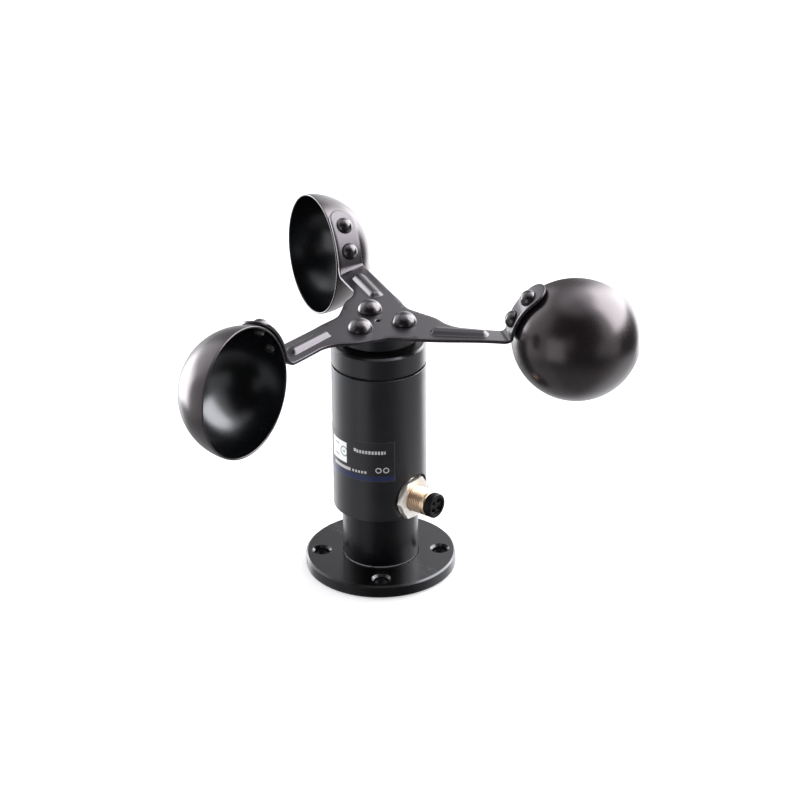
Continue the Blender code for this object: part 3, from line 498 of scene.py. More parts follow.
def mesh_object(name, verts, faces, matrix=None, smooth=32.0, weighted=True):
    """Makes an object from millimetre coordinates, with outward normals."""
    matrix = matrix or Matrix.Identity(4)
    coords = np.array(verts, float) @ np.array(matrix.to_3x3()).T + np.array(matrix.translation)
    mesh = bpy.data.meshes.new(name)
    mesh.from_pydata([tuple(v) for v in coords * MM], [], [tuple(f) for f in faces])
    bm = bmesh.new()
    bm.from_mesh(mesh)
    bmesh.ops.remove_doubles(bm, verts=bm.verts, dist=1e-8)
    bmesh.ops.recalc_face_normals(bm, faces=bm.faces)
    bm.to_mesh(mesh)
    bm.free()
    obj = bpy.data.objects.new(name, mesh)
    SCENE.collection.objects.link(obj)
    finish_shading(obj, smooth, weighted)
    return obj


def cutter(verts, faces, matrix=None):
    return mesh_object("cutter", verts, faces, matrix, weighted=False)


def cut_with(obj, cutters):
    """Cuts with exact Booleans, bakes the result and removes the cutters."""
    obj.modifiers.clear()
    for tool in cutters:
        modifier = obj.modifiers.new("cut", "BOOLEAN")
        modifier.operation = "DIFFERENCE"
        modifier.solver = "EXACT"
        modifier.object = tool
    bpy.context.view_layer.update()
    depsgraph = bpy.context.evaluated_depsgraph_get()
    baked = bpy.data.meshes.new_from_object(obj.evaluated_get(depsgraph))
    obj.modifiers.clear()
    uncut = obj.data
    obj.data = baked
    bpy.data.meshes.remove(uncut)
    for tool in cutters:
        bpy.data.objects.remove(tool, do_unlink=True)
    bm = bmesh.new()
    bm.from_mesh(obj.data)
    bmesh.ops.remove_doubles(bm, verts=bm.verts, dist=2e-7)
    bmesh.ops.dissolve_degenerate(bm, edges=bm.edges, dist=1e-7)
    bm.to_mesh(obj.data)
    bm.free()
    finish_shading(obj)


def place(obj, body, material, node):
    obj.data.materials.clear()
    obj.data.materials.append(material)
    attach(obj, body)
    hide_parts(node)


def polar(radius, degrees, z=0.0):
    angle = math.radians(degrees)
    return Vector((radius * math.cos(angle), radius * math.sin(angle), z))


def spaced(radius, first, count=3, z=0.0):
    """Matrices evenly spaced round a circle, from the azimuth first."""
    return [Matrix.Translation(polar(radius, first + 360 / count * k, z)) for k in range(count)]


def frame_at(origin, axis):
    """Frame with its Z along the axis and its X level."""
    z = axis.normalized()
    x = Vector((0, 0, 1)).cross(z)
    x.normalize()
    matrix = Matrix((x, z.cross(x), z)).transposed().to_4x4()
    matrix.translation = origin
    return matrix


# Profiles below have the columns r, z, corner radius.
# ------------------------------------------------------------------ flange and its screws
FLANGE = [(0, 0.0, 0), (34.5, 0.0, 0.12), (35.0, 0.5, 0.12), (35.0, 5.2, 0.18), (34.2, 6.0, 0.18),
          (17.85, 6.0, 0.12), (17.65, 5.8, 0.1), (17.65, 5.0, 0), (0, 5.0, 0)]
FLANGE_HOLE = [(0, -1.0, 0), (4.1, -1.0, 0), (3.5, 0.35, 0.1), (3.5, 5.0, 0.12), (5.4, 6.9, 0),
               (0, 6.9, 0)]
SCREW_HOLE = [(0, -1), (5.7, -1), (2.4, 2.3), (2.4, 6), (0, 6)]      # r, z
BASE_SCREW = [(0, 0.3, 0), (4.0, 0.3, 0.06), (4.05, 0.42, 0.06), (2.0, 2.4, 0.2), (2.0, 9.6, 0.1),
              (1.6, 10.0, 0.1), (0, 10.0, 0)]
SOCKET_CORNER_R, SOCKET_LOW, SOCKET_TOP = 1.45, -0.5, 1.9


def hex_prism(corner_radius, low, high):
    corners = [math.radians(60 * k) for k in range(6)]
    verts = [(corner_radius * math.cos(a), corner_radius * math.sin(a), z)
             for z in (low, high) for a in corners]
    sides = [(k, (k + 1) % 6, 6 + (k + 1) % 6, 6 + k) for k in range(6)]
    return verts, [tuple(range(6))[::-1], tuple(range(6, 12))] + sides


base_screws = spaced(BASE_SCREW_CIRCLE_R, BASE_SCREW_AZ)
flange = mesh_object("flange_body", *turned(FLANGE, 192))
cut_with(flange, [cutter(*turned(FLANGE_HOLE, 56, steps=3), at) for at in spaced(27.6, 0, 4)] +
         [cutter(*lathe(SCREW_HOLE, 40), at) for at in base_screws])
place(flange, "housing", M_FLANGE, "mounting_flange")

for i, at in enumerate(base_screws, 1):
    screw = mesh_object("base_screw_fine_%d" % i, *turned(BASE_SCREW, 48, steps=3), at)
    cut_with(screw, [cutter(*hex_prism(SOCKET_CORNER_R, SOCKET_LOW, SOCKET_TOP), at)])
    zinc = mat_metal("zinc_base_screw_%d" % i, (0.62, 0.63, 0.66), rough=0.3)
    place(screw, "housing", zinc, "base_screw_%d" % i)

# ------------------------------------------------------------------ post
POST = [(0, 5.25, 0), (17.1, 5.25, 0.1), (17.5, 5.65, 0.1), (17.5, 32.0, 0.15), (14.7, 32.0, 0.1),
        (14.7, 33.8, 0.1), (14.3, 34.2, 0.1), (12.5, 34.2, 0.1), (12.5, 12.0, 0.3), (0, 12.0, 0)]
post = mesh_object("post_body", *turned(POST, 176))
place(post, "housing", mat_post_painted_light(), "base_post")

# ------------------------------------------------------------------ housing
HOUSING = [(15.0, 32.3, 0), (HOUSING_R, 32.3, 0.14), (HOUSING_R, 102.95, 0.12),
           (21.35, 103.1, 0.10), (18.4, 103.1, 0.1), (18.4, 54.0, 0.1), (15.0, 54.0, 0.1)]
POCKET = [(0, POCKET_FLOOR, 0), (POCKET_R, POCKET_FLOOR, 0.35), (POCKET_R, 21.0, 0),
          (POCKET_R, 30.0, 0), (0, 30.0, 0)]
CONN_DIR = polar(1.0, CONN_AZ)
CONN = frame_at(Vector((0, 0, CONN_Z)), CONN_DIR)
housing = mesh_object("housing_body", *turned_ring(HOUSING, 208))
cut_with(housing, [cutter(*turned(POCKET, 128), CONN), cutter(*rod(6.2, 8.0, 25.0, 64), CONN)] +
         [cutter(*rod(1.2, 49.0, 56.0, 24), at) for at in spaced(16.6, 20)])
place(housing, "housing", mat_housing(), "main_housing")
housing.data.materials.append(mat_milled_seat_shaded())
for face in housing.data.polygons:
    depth = (face.center / MM).dot(CONN_DIR)
    if abs(depth - POCKET_FLOOR) < 0.05 and abs(face.normal.dot(CONN_DIR)) > 0.98:
        face.material_index = 1

# ------------------------------------------------------------------ label
LABEL_AZ = (-221.5, -71.5)
LABEL_LOW, LABEL_H, LABEL_LEN = 53.0, 19.9, 56.55
LABEL_RADII = (HOUSING_R + 0.025, HOUSING_R + 0.1)     # inner and outer face of the film


def label_mesh(rows=3, cols=150):
    """Vertices, faces and one UV per vertex of the curved film."""
    verts, faces, uvs = [], [], []
    az0, az1 = LABEL_AZ
    for radius in LABEL_RADII:
        for j in range(rows):
            for i in range(cols + 1):
                rise = LABEL_H * j / (rows - 1)
                verts.append(tuple(polar(radius, az0 + (az1 - az0) * i / cols, LABEL_LOW + rise)))
                uvs.append((LABEL_LEN * i / cols, rise))

    def at(layer, j, i):
        return (layer * rows + j) * (cols + 1) + i

    last = rows - 1
    for j in range(last):
        for i in range(cols):
            faces.append((at(1, j, i), at(1, j, i + 1), at(1, j + 1, i + 1), at(1, j + 1, i)))
            faces.append((at(0, j, i), at(0, j + 1, i), at(0, j + 1, i + 1), at(0, j, i + 1)))
    for i in range(cols):
        faces.append((at(0, 0, i), at(0, 0, i + 1), at(1, 0, i + 1), at(1, 0, i)))
        faces.append((at(0, last, i), at(1, last, i), at(1, last, i + 1), at(0, last, i + 1)))
    for j in range(last):
        faces.append((at(0, j, 0), at(1, j, 0), at(1, j + 1, 0), at(0, j + 1, 0)))
        faces.append((at(0, j, cols), at(0, j + 1, cols), at(1, j + 1, cols), at(1, j, cols)))
    return verts, faces, uvs


label_verts, label_faces, label_uvs = label_mesh()
label = mesh_object("label_film", label_verts, label_faces)
uv_map = label.data.uv_layers.new(name="UVMap")
for loop in label.data.loops:
    uv_map.data[loop.index].uv = label_uvs[loop.vertex_index]
place(label, "housing", mat_label(), "name_label")

# ------------------------------------------------------------------ connector
# Heights along its own axis are distances from Z.
NUT_LOW, NUT_TOP, NUT_BORE = 18.75, 21.5, 6.0
NUT_FLATS, NUT_CORNER_R = 18.0, 0.9
NUT_FLAT_R, NUT_CHAMFER_DEG = 9.35, 22             # the corners are chamfered past this radius
THREAD_CREST, THREAD_ROOT, THREAD_PITCH = 5.95, 5.55, 1.0
THREAD_LOW, THREAD_TOP, BARREL_LOW, BARREL_BORE = 20.6, 28.35, 11.6, 4.7
GASKET = [(6.3, 17.75, 0), (8.2, 17.75, 0.2), (8.2, NUT_LOW, 0.2), (6.3, NUT_LOW, 0)]
INSERT = [(0, 13.0, 0), (4.5, 13.0, 0.1), (4.5, 30.75, 0.05), (5.7, 30.75, 0.12), (5.75, 31.3, 0.2),
          (5.75, 34.2, 0.75), (4.15, 34.2, 0.12), (4.15, 33.5, 0.12), (0, 33.5, 0)]
CONTACT_HOLE = [(0, 10, 0), (0.85, 10, 0), (0.85, 33.1, 0.05), (1.35, 33.7, 0), (0, 33.9, 0)]
CONTACT = [(0, 11.8, 0), (0.5, 11.8, 0.1), (0.5, 32.4, 0.1), (0.25, 32.65, 0.1), (0, 32.65, 0)]


def rounded_hex(flats, corner_radius, steps=6):
    """Points round a hexagon with rounded corners."""
    out = []
    inner = (flats / 2 - corner_radius) / math.cos(math.radians(30))
    for k in range(6):
        turn = 60.0 * k
        centre, following = polar(inner, turn).xy, polar(inner, turn + 60.0).xy
        for i in range(steps + 1):
            out.append(centre + polar(corner_radius, turn - 30 + 60.0 * i / steps).xy)
        normal = polar(corner_radius, turn + 30).xy
        start, end = centre + normal, following + normal
        out += [start.lerp(end, i / 8) for i in range(1, 8)]
    return out


def hex_nut():
    """Hexagon nut, bored, with chamfered corners at both ends."""
    rings = [[] for _ in range(10)]
    slope = math.tan(math.radians(NUT_CHAMFER_DEG))
    for point in rounded_hex(NUT_FLATS, NUT_CORNER_R):
        rho, direction = point.length, point.normalized()
        drop = max(0.0, rho - NUT_FLAT_R) * slope
        section = [(NUT_BORE, NUT_LOW + 0.3), (NUT_BORE + 0.3, NUT_LOW), (NUT_FLAT_R, NUT_LOW),
                   (rho, NUT_LOW + drop + 0.02), (rho, NUT_LOW + drop + 0.22),
                   (rho, NUT_TOP - drop - 0.22), (rho, NUT_TOP - drop - 0.02),
                   (NUT_FLAT_R, NUT_TOP), (NUT_BORE + 0.45, NUT_TOP), (NUT_BORE, NUT_TOP - 0.45)]
        for ring, (r, z) in zip(rings, section):
            ring.append((direction.x * r, direction.y * r, z))
    return closed_loft(rings)


def threaded_barrel(segments=120, rows_per_turn=10):
    """Bored barrel with a helical thread above a plain shank and a plain collar at its tip."""
    levels = [[(THREAD_ROOT - 0.3, BARREL_LOW)] * segments,
              [(THREAD_ROOT, BARREL_LOW + 0.3)] * segments]
    rows = int((THREAD_TOP - THREAD_LOW) / THREAD_PITCH * rows_per_turn)
    for j in range(rows + 1):
        z = THREAD_LOW + (THREAD_TOP - THREAD_LOW) * j / rows
        # the thread fades in and out at its ends
        fade = max(0.0, min(1.0, (z - THREAD_LOW) / 0.8, (THREAD_TOP - z) / 0.7))
        row = []
        for k in range(segments):
            phase = (z / THREAD_PITCH - k / segments) % 1.0
            tooth = min(1.0, max(0.0, (abs(2 * phase - 1) - 0.12) / 0.74))
            row.append((THREAD_ROOT + (THREAD_CREST - THREAD_ROOT) * tooth * fade, z))
        levels.append(row)
    # undercut, collar and mouth: radius, height past the thread
    for r, past in ((THREAD_ROOT - 0.1, 0.15), (THREAD_ROOT - 0.1, 0.45),
                    (THREAD_CREST - 0.25, 0.6), (THREAD_CREST - 0.08, 0.75),
                    (THREAD_CREST - 0.08, 2.0), (THREAD_CREST - 0.3, 2.22),
                    (BARREL_BORE + 0.15, 2.22), (BARREL_BORE, 2.05)):
        levels.append([(r, THREAD_TOP + past)] * segments)
    levels.append([(BARREL_BORE, BARREL_LOW + 0.2)] * segments)
    turns = [2 * math.pi * k / segments for k in range(segments)]
    return closed_loft([[(r * math.cos(turn), r * math.sin(turn), z)
                         for turn, (r, z) in zip(turns, row)] for row in levels])


place(mesh_object("connector_gasket_fine", *turned_ring(GASKET, 96), CONN),
      "housing", M_RUBBER, "connector_gasket")
place(mesh_object("connector_hex_nut", *hex_nut(), CONN, smooth=25),
      "housing", M_NICKEL, "connector_nut")
place(mesh_object("connector_barrel", *threaded_barrel(), CONN, smooth=50, weighted=False),
      "housing", M_THREAD, "connector_shell")

contacts = [CONN @ at for at in spaced(CONTACT_CIRCLE_R, CONTACT_AZ, 4)]
insert = mesh_object("connector_insert_fine", *turned(INSERT, 112, steps=5), CONN)
notch = CONN @ Matrix.Translation(polar(4.15, 180))
cut_with(insert, [cutter(*turned(CONTACT_HOLE, 32, steps=2), at) for at in contacts] +
         [cutter(*rod(0.7, 30.5, 35.5, 24), notch)])
place(insert, "housing", M_INSERT, "connector_insert")
for i, at in enumerate(contacts, 1):
    pin = mesh_object("connector_contact_fine_%d" % i, *turned(CONTACT, 28, steps=3), at)
    place(pin, "housing", M_GOLD, "connector_contact_%d" % i)

# ------------------------------------------------------------------ seal, cap and hub
SEAL = [(18.6, 103.15, 0), (20.7, 103.15, 0.35), (20.7, 104.05, 0.35), (18.6, 104.05, 0)]
CAP = [(9.8, 97.0, 0), (18.1, 97.0, 0.2), (18.1, 104.1, 0.1), (21.15, 104.1, 0.04),
       (HOUSING_R, 104.45, 0.04), (HOUSING_R, 113.1, 0.2), (20.6, 114.0, 0.15), (7.3, 114.0, 0.3),
       (7.3, 104.4, 0.1), (9.8, 104.4, 0.1)]
HUB = [(0, 120.1, 0), (3.3, 120.1, 0.1), (3.3, 104.4, 0.1), (6.6, 104.4, 0.1), (6.6, 115.4, 0.3),
       (16.9, 115.4, 0.2), (17.6, 116.1, 0.25), (17.6, 121.4, 0.15), (17.1, 121.88, 0.15),
       (0, 121.88, 0)]
place(mesh_object("cap_seal", *turned_ring(SEAL, 160, steps=5)),
      "housing", M_RUBBER, "cap_seal_ring")

cap = mesh_object("cap_body", *turned_ring(CAP, 208))
cut_with(cap, [cutter(*rod(1.6, 96.0, 101.5, 24), at) for at in spaced(15.1, 0)])
place(cap, "housing", M_CAP, "top_cap")

hub = mesh_object("hub_body", *turned(HUB, 176))
cut_with(hub, [cutter(*rod(3.3, 116.5, 123.0, 40), at)
               for at in spaced(HUB_RIVET_CIRCLE_R, HUB_RIVET_AZ)])
place(hub, "rotor", M_HUB, "rotor_hub")

# ------------------------------------------------------------------ spider plate
# Arm coordinates: "out" runs outward along the arm's cup azimuth, "side" to its clockwise
# side seen from above. Past a slanting bend line each arm is a strip, measured by "run"
# (along the bend and ear) and "off" (across), which bends up and curves over the cup.
EAR_MID_R = EAR_IN_R + PLATE_T / 2
PLATE_MID = (PLATE_LOW + PLATE_TOP) / 2
BEND_Z = PLATE_MID + BEND_R
BEND_OUT = CUP_CIRCLE_R - math.sqrt((EAR_MID_R + BEND_R) ** 2 - (BEND_Z - CUP_Z) ** 2)
EAR_START = math.asin((BEND_Z - CUP_Z) / (EAR_MID_R + BEND_R))
BEND_LEN = BEND_R * (math.pi / 2 - EAR_START)
STRIP_LEN = BEND_LEN + EAR_MID_R * (math.radians(EAR_TIP_DEG) - EAR_START)
BEND_SHIFT = 0.1                                   # bend line's middle against the ear's
BEND_MID = Vector((BEND_OUT, EAR_SIDE - BEND_SHIFT))
ACROSS = Vector((math.sin(EAR_TILT), math.cos(EAR_TILT)))
ALONG = Vector((math.cos(EAR_TILT), -math.sin(EAR_TILT)))

# Plate edge between two arms, as (out, side): down one arm, then up the next arm round.
EDGE_DOWN = [(50.0, 16.05), (42.0, 16.35), (34.0, 16.7), (26.0, 17.0), (18.0, 17.3), (8.0, 17.4)]
EDGE_UP = [(17.0, -11.5), (25.0, -6.6), (30.5, -1.2), (36.0, 1.45), (42.0, 1.75), (49.0, 1.85)]
AXIS_HOLE_R, HUB_RIVET_HOLE_R, CUP_RIVET_HOLE_R = 1.2, 3.2, 1.85
# Rounding of the sheet's edges: distance in from the edge, metal taken off the face there.
EDGE_ROUNDING = ((0.0, 0.30), (0.12, 0.09), (0.36, 0.0))


def arm_xy(out, side, arm):
    """Turns arm coordinates into plan x, y. It is its own inverse."""
    turn = math.radians(CUP_AZ + 120.0 * arm)
    return (out * math.cos(turn) + side * math.sin(turn),
            out * math.sin(turn) - side * math.cos(turn))


def arm_vector(vector, arm):
    return Vector((*arm_xy(vector.x, vector.y, arm), vector.z))


def strip_xy(run, off, arm):
    point = BEND_MID + ALONG * run + ACROSS * off
    return arm_xy(point.x, point.y, arm)


def ear_run(angle):
    """Run along the strip at which the ear's arc reaches an angle."""
    return BEND_LEN + EAR_MID_R * (angle - EAR_START)


def ear_section(angle):
    """Centre, direction across and outward normal of the ear, in arm coordinates."""
    radial = Vector((-math.cos(angle), 0.0, math.sin(angle)))
    sideways = Vector((0, 1, 0))
    return (Vector((CUP_CIRCLE_R, EAR_SIDE, CUP_Z)) + radial * EAR_MID_R,
            sideways * math.cos(EAR_TILT) - radial * math.sin(EAR_TILT),
            radial * math.cos(EAR_TILT) + sideways * math.sin(EAR_TILT))


def smoothstep(t):
    return t * t * (3 - 2 * t)


def strip_point(run, off):
    """Middle surface point of the strip and its normal, in arm coordinates."""
    if run >= BEND_LEN:
        centre, across, normal = ear_section(EAR_START + (run - BEND_LEN) / EAR_MID_R)
        return centre + across * off, normal
    share = run / BEND_LEN
    turn = share * (math.pi / 2 - EAR_START)
    ease = smoothstep(share)
    across = Vector((math.sin(EAR_TILT), math.cos(EAR_TILT), ARM_TWIST * math.cos(EAR_TILT)))
    across = across.lerp(ear_section(EAR_START)[1], ease)
    centre = Vector((BEND_OUT + BEND_R * math.sin(turn), EAR_SIDE - BEND_SHIFT * (1 - ease),
                     BEND_Z - BEND_R * math.cos(turn)))
    normal = Vector((-math.sin(turn), 0, math.cos(turn)))
    unit = across.normalized()
    return centre + across * off, (normal - unit * normal.dot(unit)).normalized()


def twist_share(out):
    """Share of the arm's twist reached at a distance from the axis."""
    return smoothstep(min(max((out - 24.0) / 30.0, 0.0), 1.0))


def rib_level(out, side):
    """0 on the rib's flat top, 1 at its foot; the corners are rounded."""
    end = max((RIB_OUT[0] - out) / RIB_END_RUN[0], (out - RIB_OUT[1]) / RIB_END_RUN[1], 0.0)
    flank = max((RIB_SIDE[0] - side) / RIB_SIDE_RUN[0],
                (side - RIB_SIDE[1]) / RIB_SIDE_RUN[1], 0.0)
    return (end ** 3 + flank ** 3) ** (1 / 3)


def rib_height(out, side):
    """Even slope with a small rounding at the top and at the foot."""
    level, soft = rib_level(out, side), RIB_ROUNDING
    if level >= 1.0:
        return 0.0
    if level < soft:
        fall = level * level / (2 * soft)
    elif level < 1 - soft:
        fall = level - soft / 2
    else:
        fall = 1 - soft - (1 - level) ** 2 / (2 * soft)
    return RIB_H * (1 - fall / (1 - soft))


def sheet_point(x, y):
    """Middle surface point and normal of a point of the flat pattern."""
    arm = max(range(3), key=lambda k: arm_xy(x, y, k)[0])
    out, side = arm_xy(x, y, arm)
    past = Vector((out, side)) - BEND_MID
    run, off = past.dot(ALONG), past.dot(ACROSS)
    if run > 0 and out > 40:
        point, normal = strip_point(run, off)
    else:
        twist, rib = twist_share(out), rib_height(out, side)
        from_mid = side - BEND_MID.y
        z = PLATE_MID + from_mid * ARM_TWIST * twist + rib
        delta = 0.02
        slope_out = (from_mid * ARM_TWIST * (twist_share(out + delta) - twist)
                     + rib_height(out + delta, side) - rib) / delta
        slope_side = ARM_TWIST * twist + (rib_height(out, side + delta) - rib) / delta
        point = Vector((out, side, z))
        normal = Vector((-slope_out, -slope_side, 1.0)).normalized()
    return arm_vector(point, arm), arm_vector(normal, arm)


def catmull(points, step=0.6):
    """Centripetal Catmull-Rom curve through the points."""
    def blend(a, b, knot_a, knot_b, t):
        return a * ((knot_b - t) / (knot_b - knot_a)) + b * ((t - knot_a) / (knot_b - knot_a))

    points = [Vector(p) for p in points]
    points = [points[0] * 2 - points[1]] + points + [points[-1] * 2 - points[-2]]
    curve = []
    for i in range(1, len(points) - 2):
        span = points[i - 1:i + 3]
        knots = [0.0]
        for a, b in zip(span, span[1:]):
            knots.append(knots[-1] + max((b - a).length, 1e-6) ** 0.5)
        count = max(2, int((span[2] - span[1]).length / step))
        for j in range(count):
            t = knots[1] + (knots[2] - knots[1]) * j / count
            first = [blend(span[q], span[q + 1], knots[q], knots[q + 1], t) for q in range(3)]
            second = [blend(first[q], first[q + 1], knots[q], knots[q + 2], t) for q in range(2)]
            curve.append(blend(second[0], second[1], knots[1], knots[2], t))
    curve.append(points[-2])
    return curve


def plate_outline():
    """Outer edge of the flat pattern, clockwise."""
    outline = []
    arm_half, ear_half = ARM_W / 2, EAR_W / 2
    tip = STRIP_LEN - ear_half                     # where the ear's round end begins
    runs = np.linspace(0.0, tip, 52)
    start, end = BEND_MID + ACROSS * arm_half, BEND_MID - ACROSS * arm_half

    def half_width(run):
        return arm_half + (ear_half - arm_half) * min(1.0, run / BEND_LEN) ** 0.8

    for arm in (0, 2, 1):
        stations = [(run, -half_width(run)) for run in runs]
        for degrees in np.linspace(-90, 90, 30)[1:-1]:
            turn = math.radians(degrees)
            stations.append((tip + ear_half * math.cos(turn), ear_half * math.sin(turn)))
        stations += [(run, half_width(run)) for run in runs[::-1]]
        outline += [Vector(strip_xy(run, off, arm)) for run, off in stations]
        controls = [arm_xy(*p, arm) for p in [(start.x, start.y)] + EDGE_DOWN]
        controls += [arm_xy(*p, (arm - 1) % 3) for p in EDGE_UP + [(end.x, end.y)]]
        outline += catmull(controls)[1:-1]
    return outline


def circle(radius, count, to_xy):
    turns = [math.radians(-360.0 * i / count) for i in range(count)]
    return [Vector(to_xy(radius * math.cos(t), radius * math.sin(t))) for t in turns]


def plate_holes():
    holes = [circle(AXIS_HOLE_R, 28, lambda a, b: (a, b))]
    for k in range(3):
        centre = polar(HUB_RIVET_CIRCLE_R, HUB_RIVET_AZ + 120 * k)
        holes.append(circle(HUB_RIVET_HOLE_R, 36, lambda a, b: (centre.x + a, centre.y + b)))
        for degrees in CUP_RIVET_DEG:
            middle = ear_run(math.radians(degrees))
            holes.append(circle(CUP_RIVET_HOLE_R, 28, lambda a, b: strip_xy(middle + a, b, k)))
    return holes


def clean_loop(loop, outer):
    """Drops near-doubled points and turns the loop so that the metal lies to its left."""
    clean = [loop[0]]
    for point in loop[1:]:
        if (point - clean[-1]).length > 0.05:
            clean.append(point)
    if (clean[-1] - clean[0]).length < 0.05:
        clean.pop()
    area = sum(a.x * b.y - b.x * a.y for a, b in zip(clean, clean[1:] + clean[:1])) / 2
    if (area > 0) != outer:
        clean.reverse()
    return clean


def inside(points, loop):
    x, y = points[:, 0][:, None], points[:, 1][:, None]
    x1, y1 = loop[:, 0], loop[:, 1]
    x2, y2 = np.roll(x1, -1), np.roll(y1, -1)
    crosses = (y1 > y) != (y2 > y)
    with np.errstate(divide="ignore", invalid="ignore"):
        crossing = (x2 - x1) * (y - y1) / (y2 - y1) + x1
    return (np.sum(crosses & (x < crossing), axis=1) % 2).astype(bool)


def in_metal(points, loops):
    keep = inside(points, loops[0])
    for loop in loops[1:]:
        keep &= ~inside(points, loop)
    return keep


def clearance(points, loops):
    """Distance from each point to the nearest loop point."""
    distances = [np.sqrt(((points[:, None] - loop[None]) ** 2).sum(-1)).min(1) for loop in loops]
    return np.min(distances, axis=0)


def rib_ring(level):
    """Points round the rib at one level of its slope, as (out, side)."""
    (out0, out1), (side0, side1) = RIB_OUT, RIB_SIDE
    (end0, end1), (run0, run1) = RIB_END_RUN, RIB_SIDE_RUN
    outs = np.arange(out0 + 0.6, out1 - 0.3, 0.6)
    sides = np.arange(side0 + 0.4, side1 - 0.2, 0.4)
    ring = [(out, side1 + level * run1) for out in outs]
    ring += [(out, side0 - level * run0) for out in outs]
    ring += [(out1 + level * end1, side) for side in sides]
    ring += [(out0 - level * end0, side) for side in sides]
    if level < 0.05:
        ring += [(out, (side0 + side1) / 2) for out in outs]
        return ring + [(out, side) for out in RIB_OUT for side in RIB_SIDE]
    turns = [math.pi * i / 16 for i in range(8)]
    corner = [(level * math.cos(t) ** 0.667, level * math.sin(t) ** 0.667) for t in turns]
    corner.append((0.0, level))
    for out, end in ((out1, end1), (out0, -end0)):
        for side, run in ((side1, run1), (side0, -run0)):
            ring += [(out + a * end, side + b * run) for a, b in corner]
    return ring


def fill_points():
    """Candidate points for the inside of the flat pattern."""
    fill = []
    for arm in range(3):
        for level in np.arange(0.0, 1.13, 0.1):
            fill += [arm_xy(out, side, arm) for out, side in rib_ring(level)]
        # flat of the arm, clear of the rib and short of the bend line
        for out in np.arange(21.0, BEND_OUT + 1.6, 1.1):
            for side in np.arange(-9.0, 17.0, 1.1):
                short = (Vector((out, side)) - BEND_MID).dot(ALONG) <= -0.3
                if short and rib_level(out, side) >= 1.28:
                    fill.append(arm_xy(out, side, arm))
        runs = [*np.arange(0.0, BEND_LEN, 0.36), *np.arange(BEND_LEN, STRIP_LEN, 0.85)]
        for run in runs:
            for off in np.arange(-7.0, 7.01, 1.0):
                fill.append(strip_xy(run, off, arm))
    # middle of the plate, on a slightly sheared grid
    for x in np.arange(-24, 24.1, 2.0):
        for y in np.arange(-24, 24.1, 2.0):
            if math.hypot(x, y) < 24 and max(arm_xy(x, y, k)[0] for k in range(3)) < 20.5:
                fill.append((x + 0.013 * y, y))
    return np.array(fill, float)


def spider():
    """Meshes the flat pattern, then lifts it to the top and bottom faces of the bent sheet."""
    loops = [clean_loop(plate_outline(), True)]
    loops += [clean_loop(hole, False) for hole in plate_holes()]
    points, edges, thinning = [], [], []
    for loop in loops:
        count = len(loop)
        normals = []
        for i in range(count):
            tangent = (loop[(i + 1) % count] - loop[i - 1]).normalized()
            normals.append(Vector((-tangent.y, tangent.x)))       # into the metal
        for inset, thin in EDGE_ROUNDING:
            base = len(points)
            points += [p + normal * inset for p, normal in zip(loop, normals)]
            thinning += [thin] * count
            edges += [(base + i, base + (i + 1) % count) for i in range(count)]

    borders = [np.array([(p.x, p.y) for p in loop]) for loop in loops]
    fill = fill_points()
    fill = fill[in_metal(fill, borders)]
    fill = fill[clearance(fill, borders) > 0.62]
    points += [Vector((float(x), float(y))) for x, y in fill]
    thinning += [0.0] * len(fill)

    flat, _, tris, origins, _, _ = delaunay_2d_cdt(points, edges, [], 0, 1e-5)
    flat = [Vector(v) for v in flat]
    centres = np.array([((flat[a] + flat[b] + flat[c]) / 3)[:2] for a, b, c in tris])
    tris = [tri for tri, good in zip(tris, in_metal(centres, borders)) if good]
    used = sorted(set(i for tri in tris for i in tri))
    index = {old: new for new, old in enumerate(used)}
    top, bottom = [], []
    for i in used:
        thin = max((thinning[origin] for origin in origins[i]), default=0.0)
        point, normal = sheet_point(flat[i].x, flat[i].y)
        top.append(tuple(point + normal * (PLATE_T / 2 - thin)))
        bottom.append(tuple(point - normal * (PLATE_T / 2 - thin * 0.8)))

    lower = len(used)
    faces, sides = [], []
    for a, b, c in tris:
        if (flat[b] - flat[a]).cross(flat[c] - flat[a]) < 0:
            b, c = c, b
        a, b, c = index[a], index[b], index[c]
        faces += [(a, b, c), (lower + a, lower + c, lower + b)]
        sides += [(a, b), (b, c), (c, a)]
    inner_sides = set(sides)
    for a, b in sides:
        if (b, a) not in inner_sides:
            faces.append((b, a, lower + a, lower + b))
    return top + bottom, faces


place(mesh_object("spider_sheet", *spider(), smooth=48, weighted=False),
      "rotor", M_PLATE, "spider_plate")


# ------------------------------------------------------------------ rivets and cups
def dome(radius, height, base, steps):
    """Spherical cap standing on base, from just above its rim to its pole, as (r, z)."""
    sphere = (radius * radius + height * height) / (2 * height)
    rim = math.asin(radius / sphere)
    turns = [rim * (1 - i / steps) for i in range(1, steps)]
    cap = [(sphere * math.sin(t), sphere * math.cos(t) - (sphere - height)) for t in turns]
    return [(r, z + base) for r, z in cap + [(0, height)]]


HUB_RIVET = [(0, -6.2), (2.9, -6.2), (2.9, 0.0), (5.45, 0.0), (5.7, 0.12), (5.75, 0.32)]  # r, z
HUB_RIVET += dome(radius=5.75, height=4.7, base=0.32, steps=24)
for i, at in enumerate(spaced(HUB_RIVET_CIRCLE_R, HUB_RIVET_AZ, z=PLATE_TOP), 1):
    rivet = mesh_object("hub_rivet_dome_%d" % i, *lathe(HUB_RIVET, 72), at, smooth=40)
    place(rivet, "rotor", M_RIVET, "hub_rivet_%d" % i)

RIM_ROUND = 0.42                                   # height of the cup's rounded rim


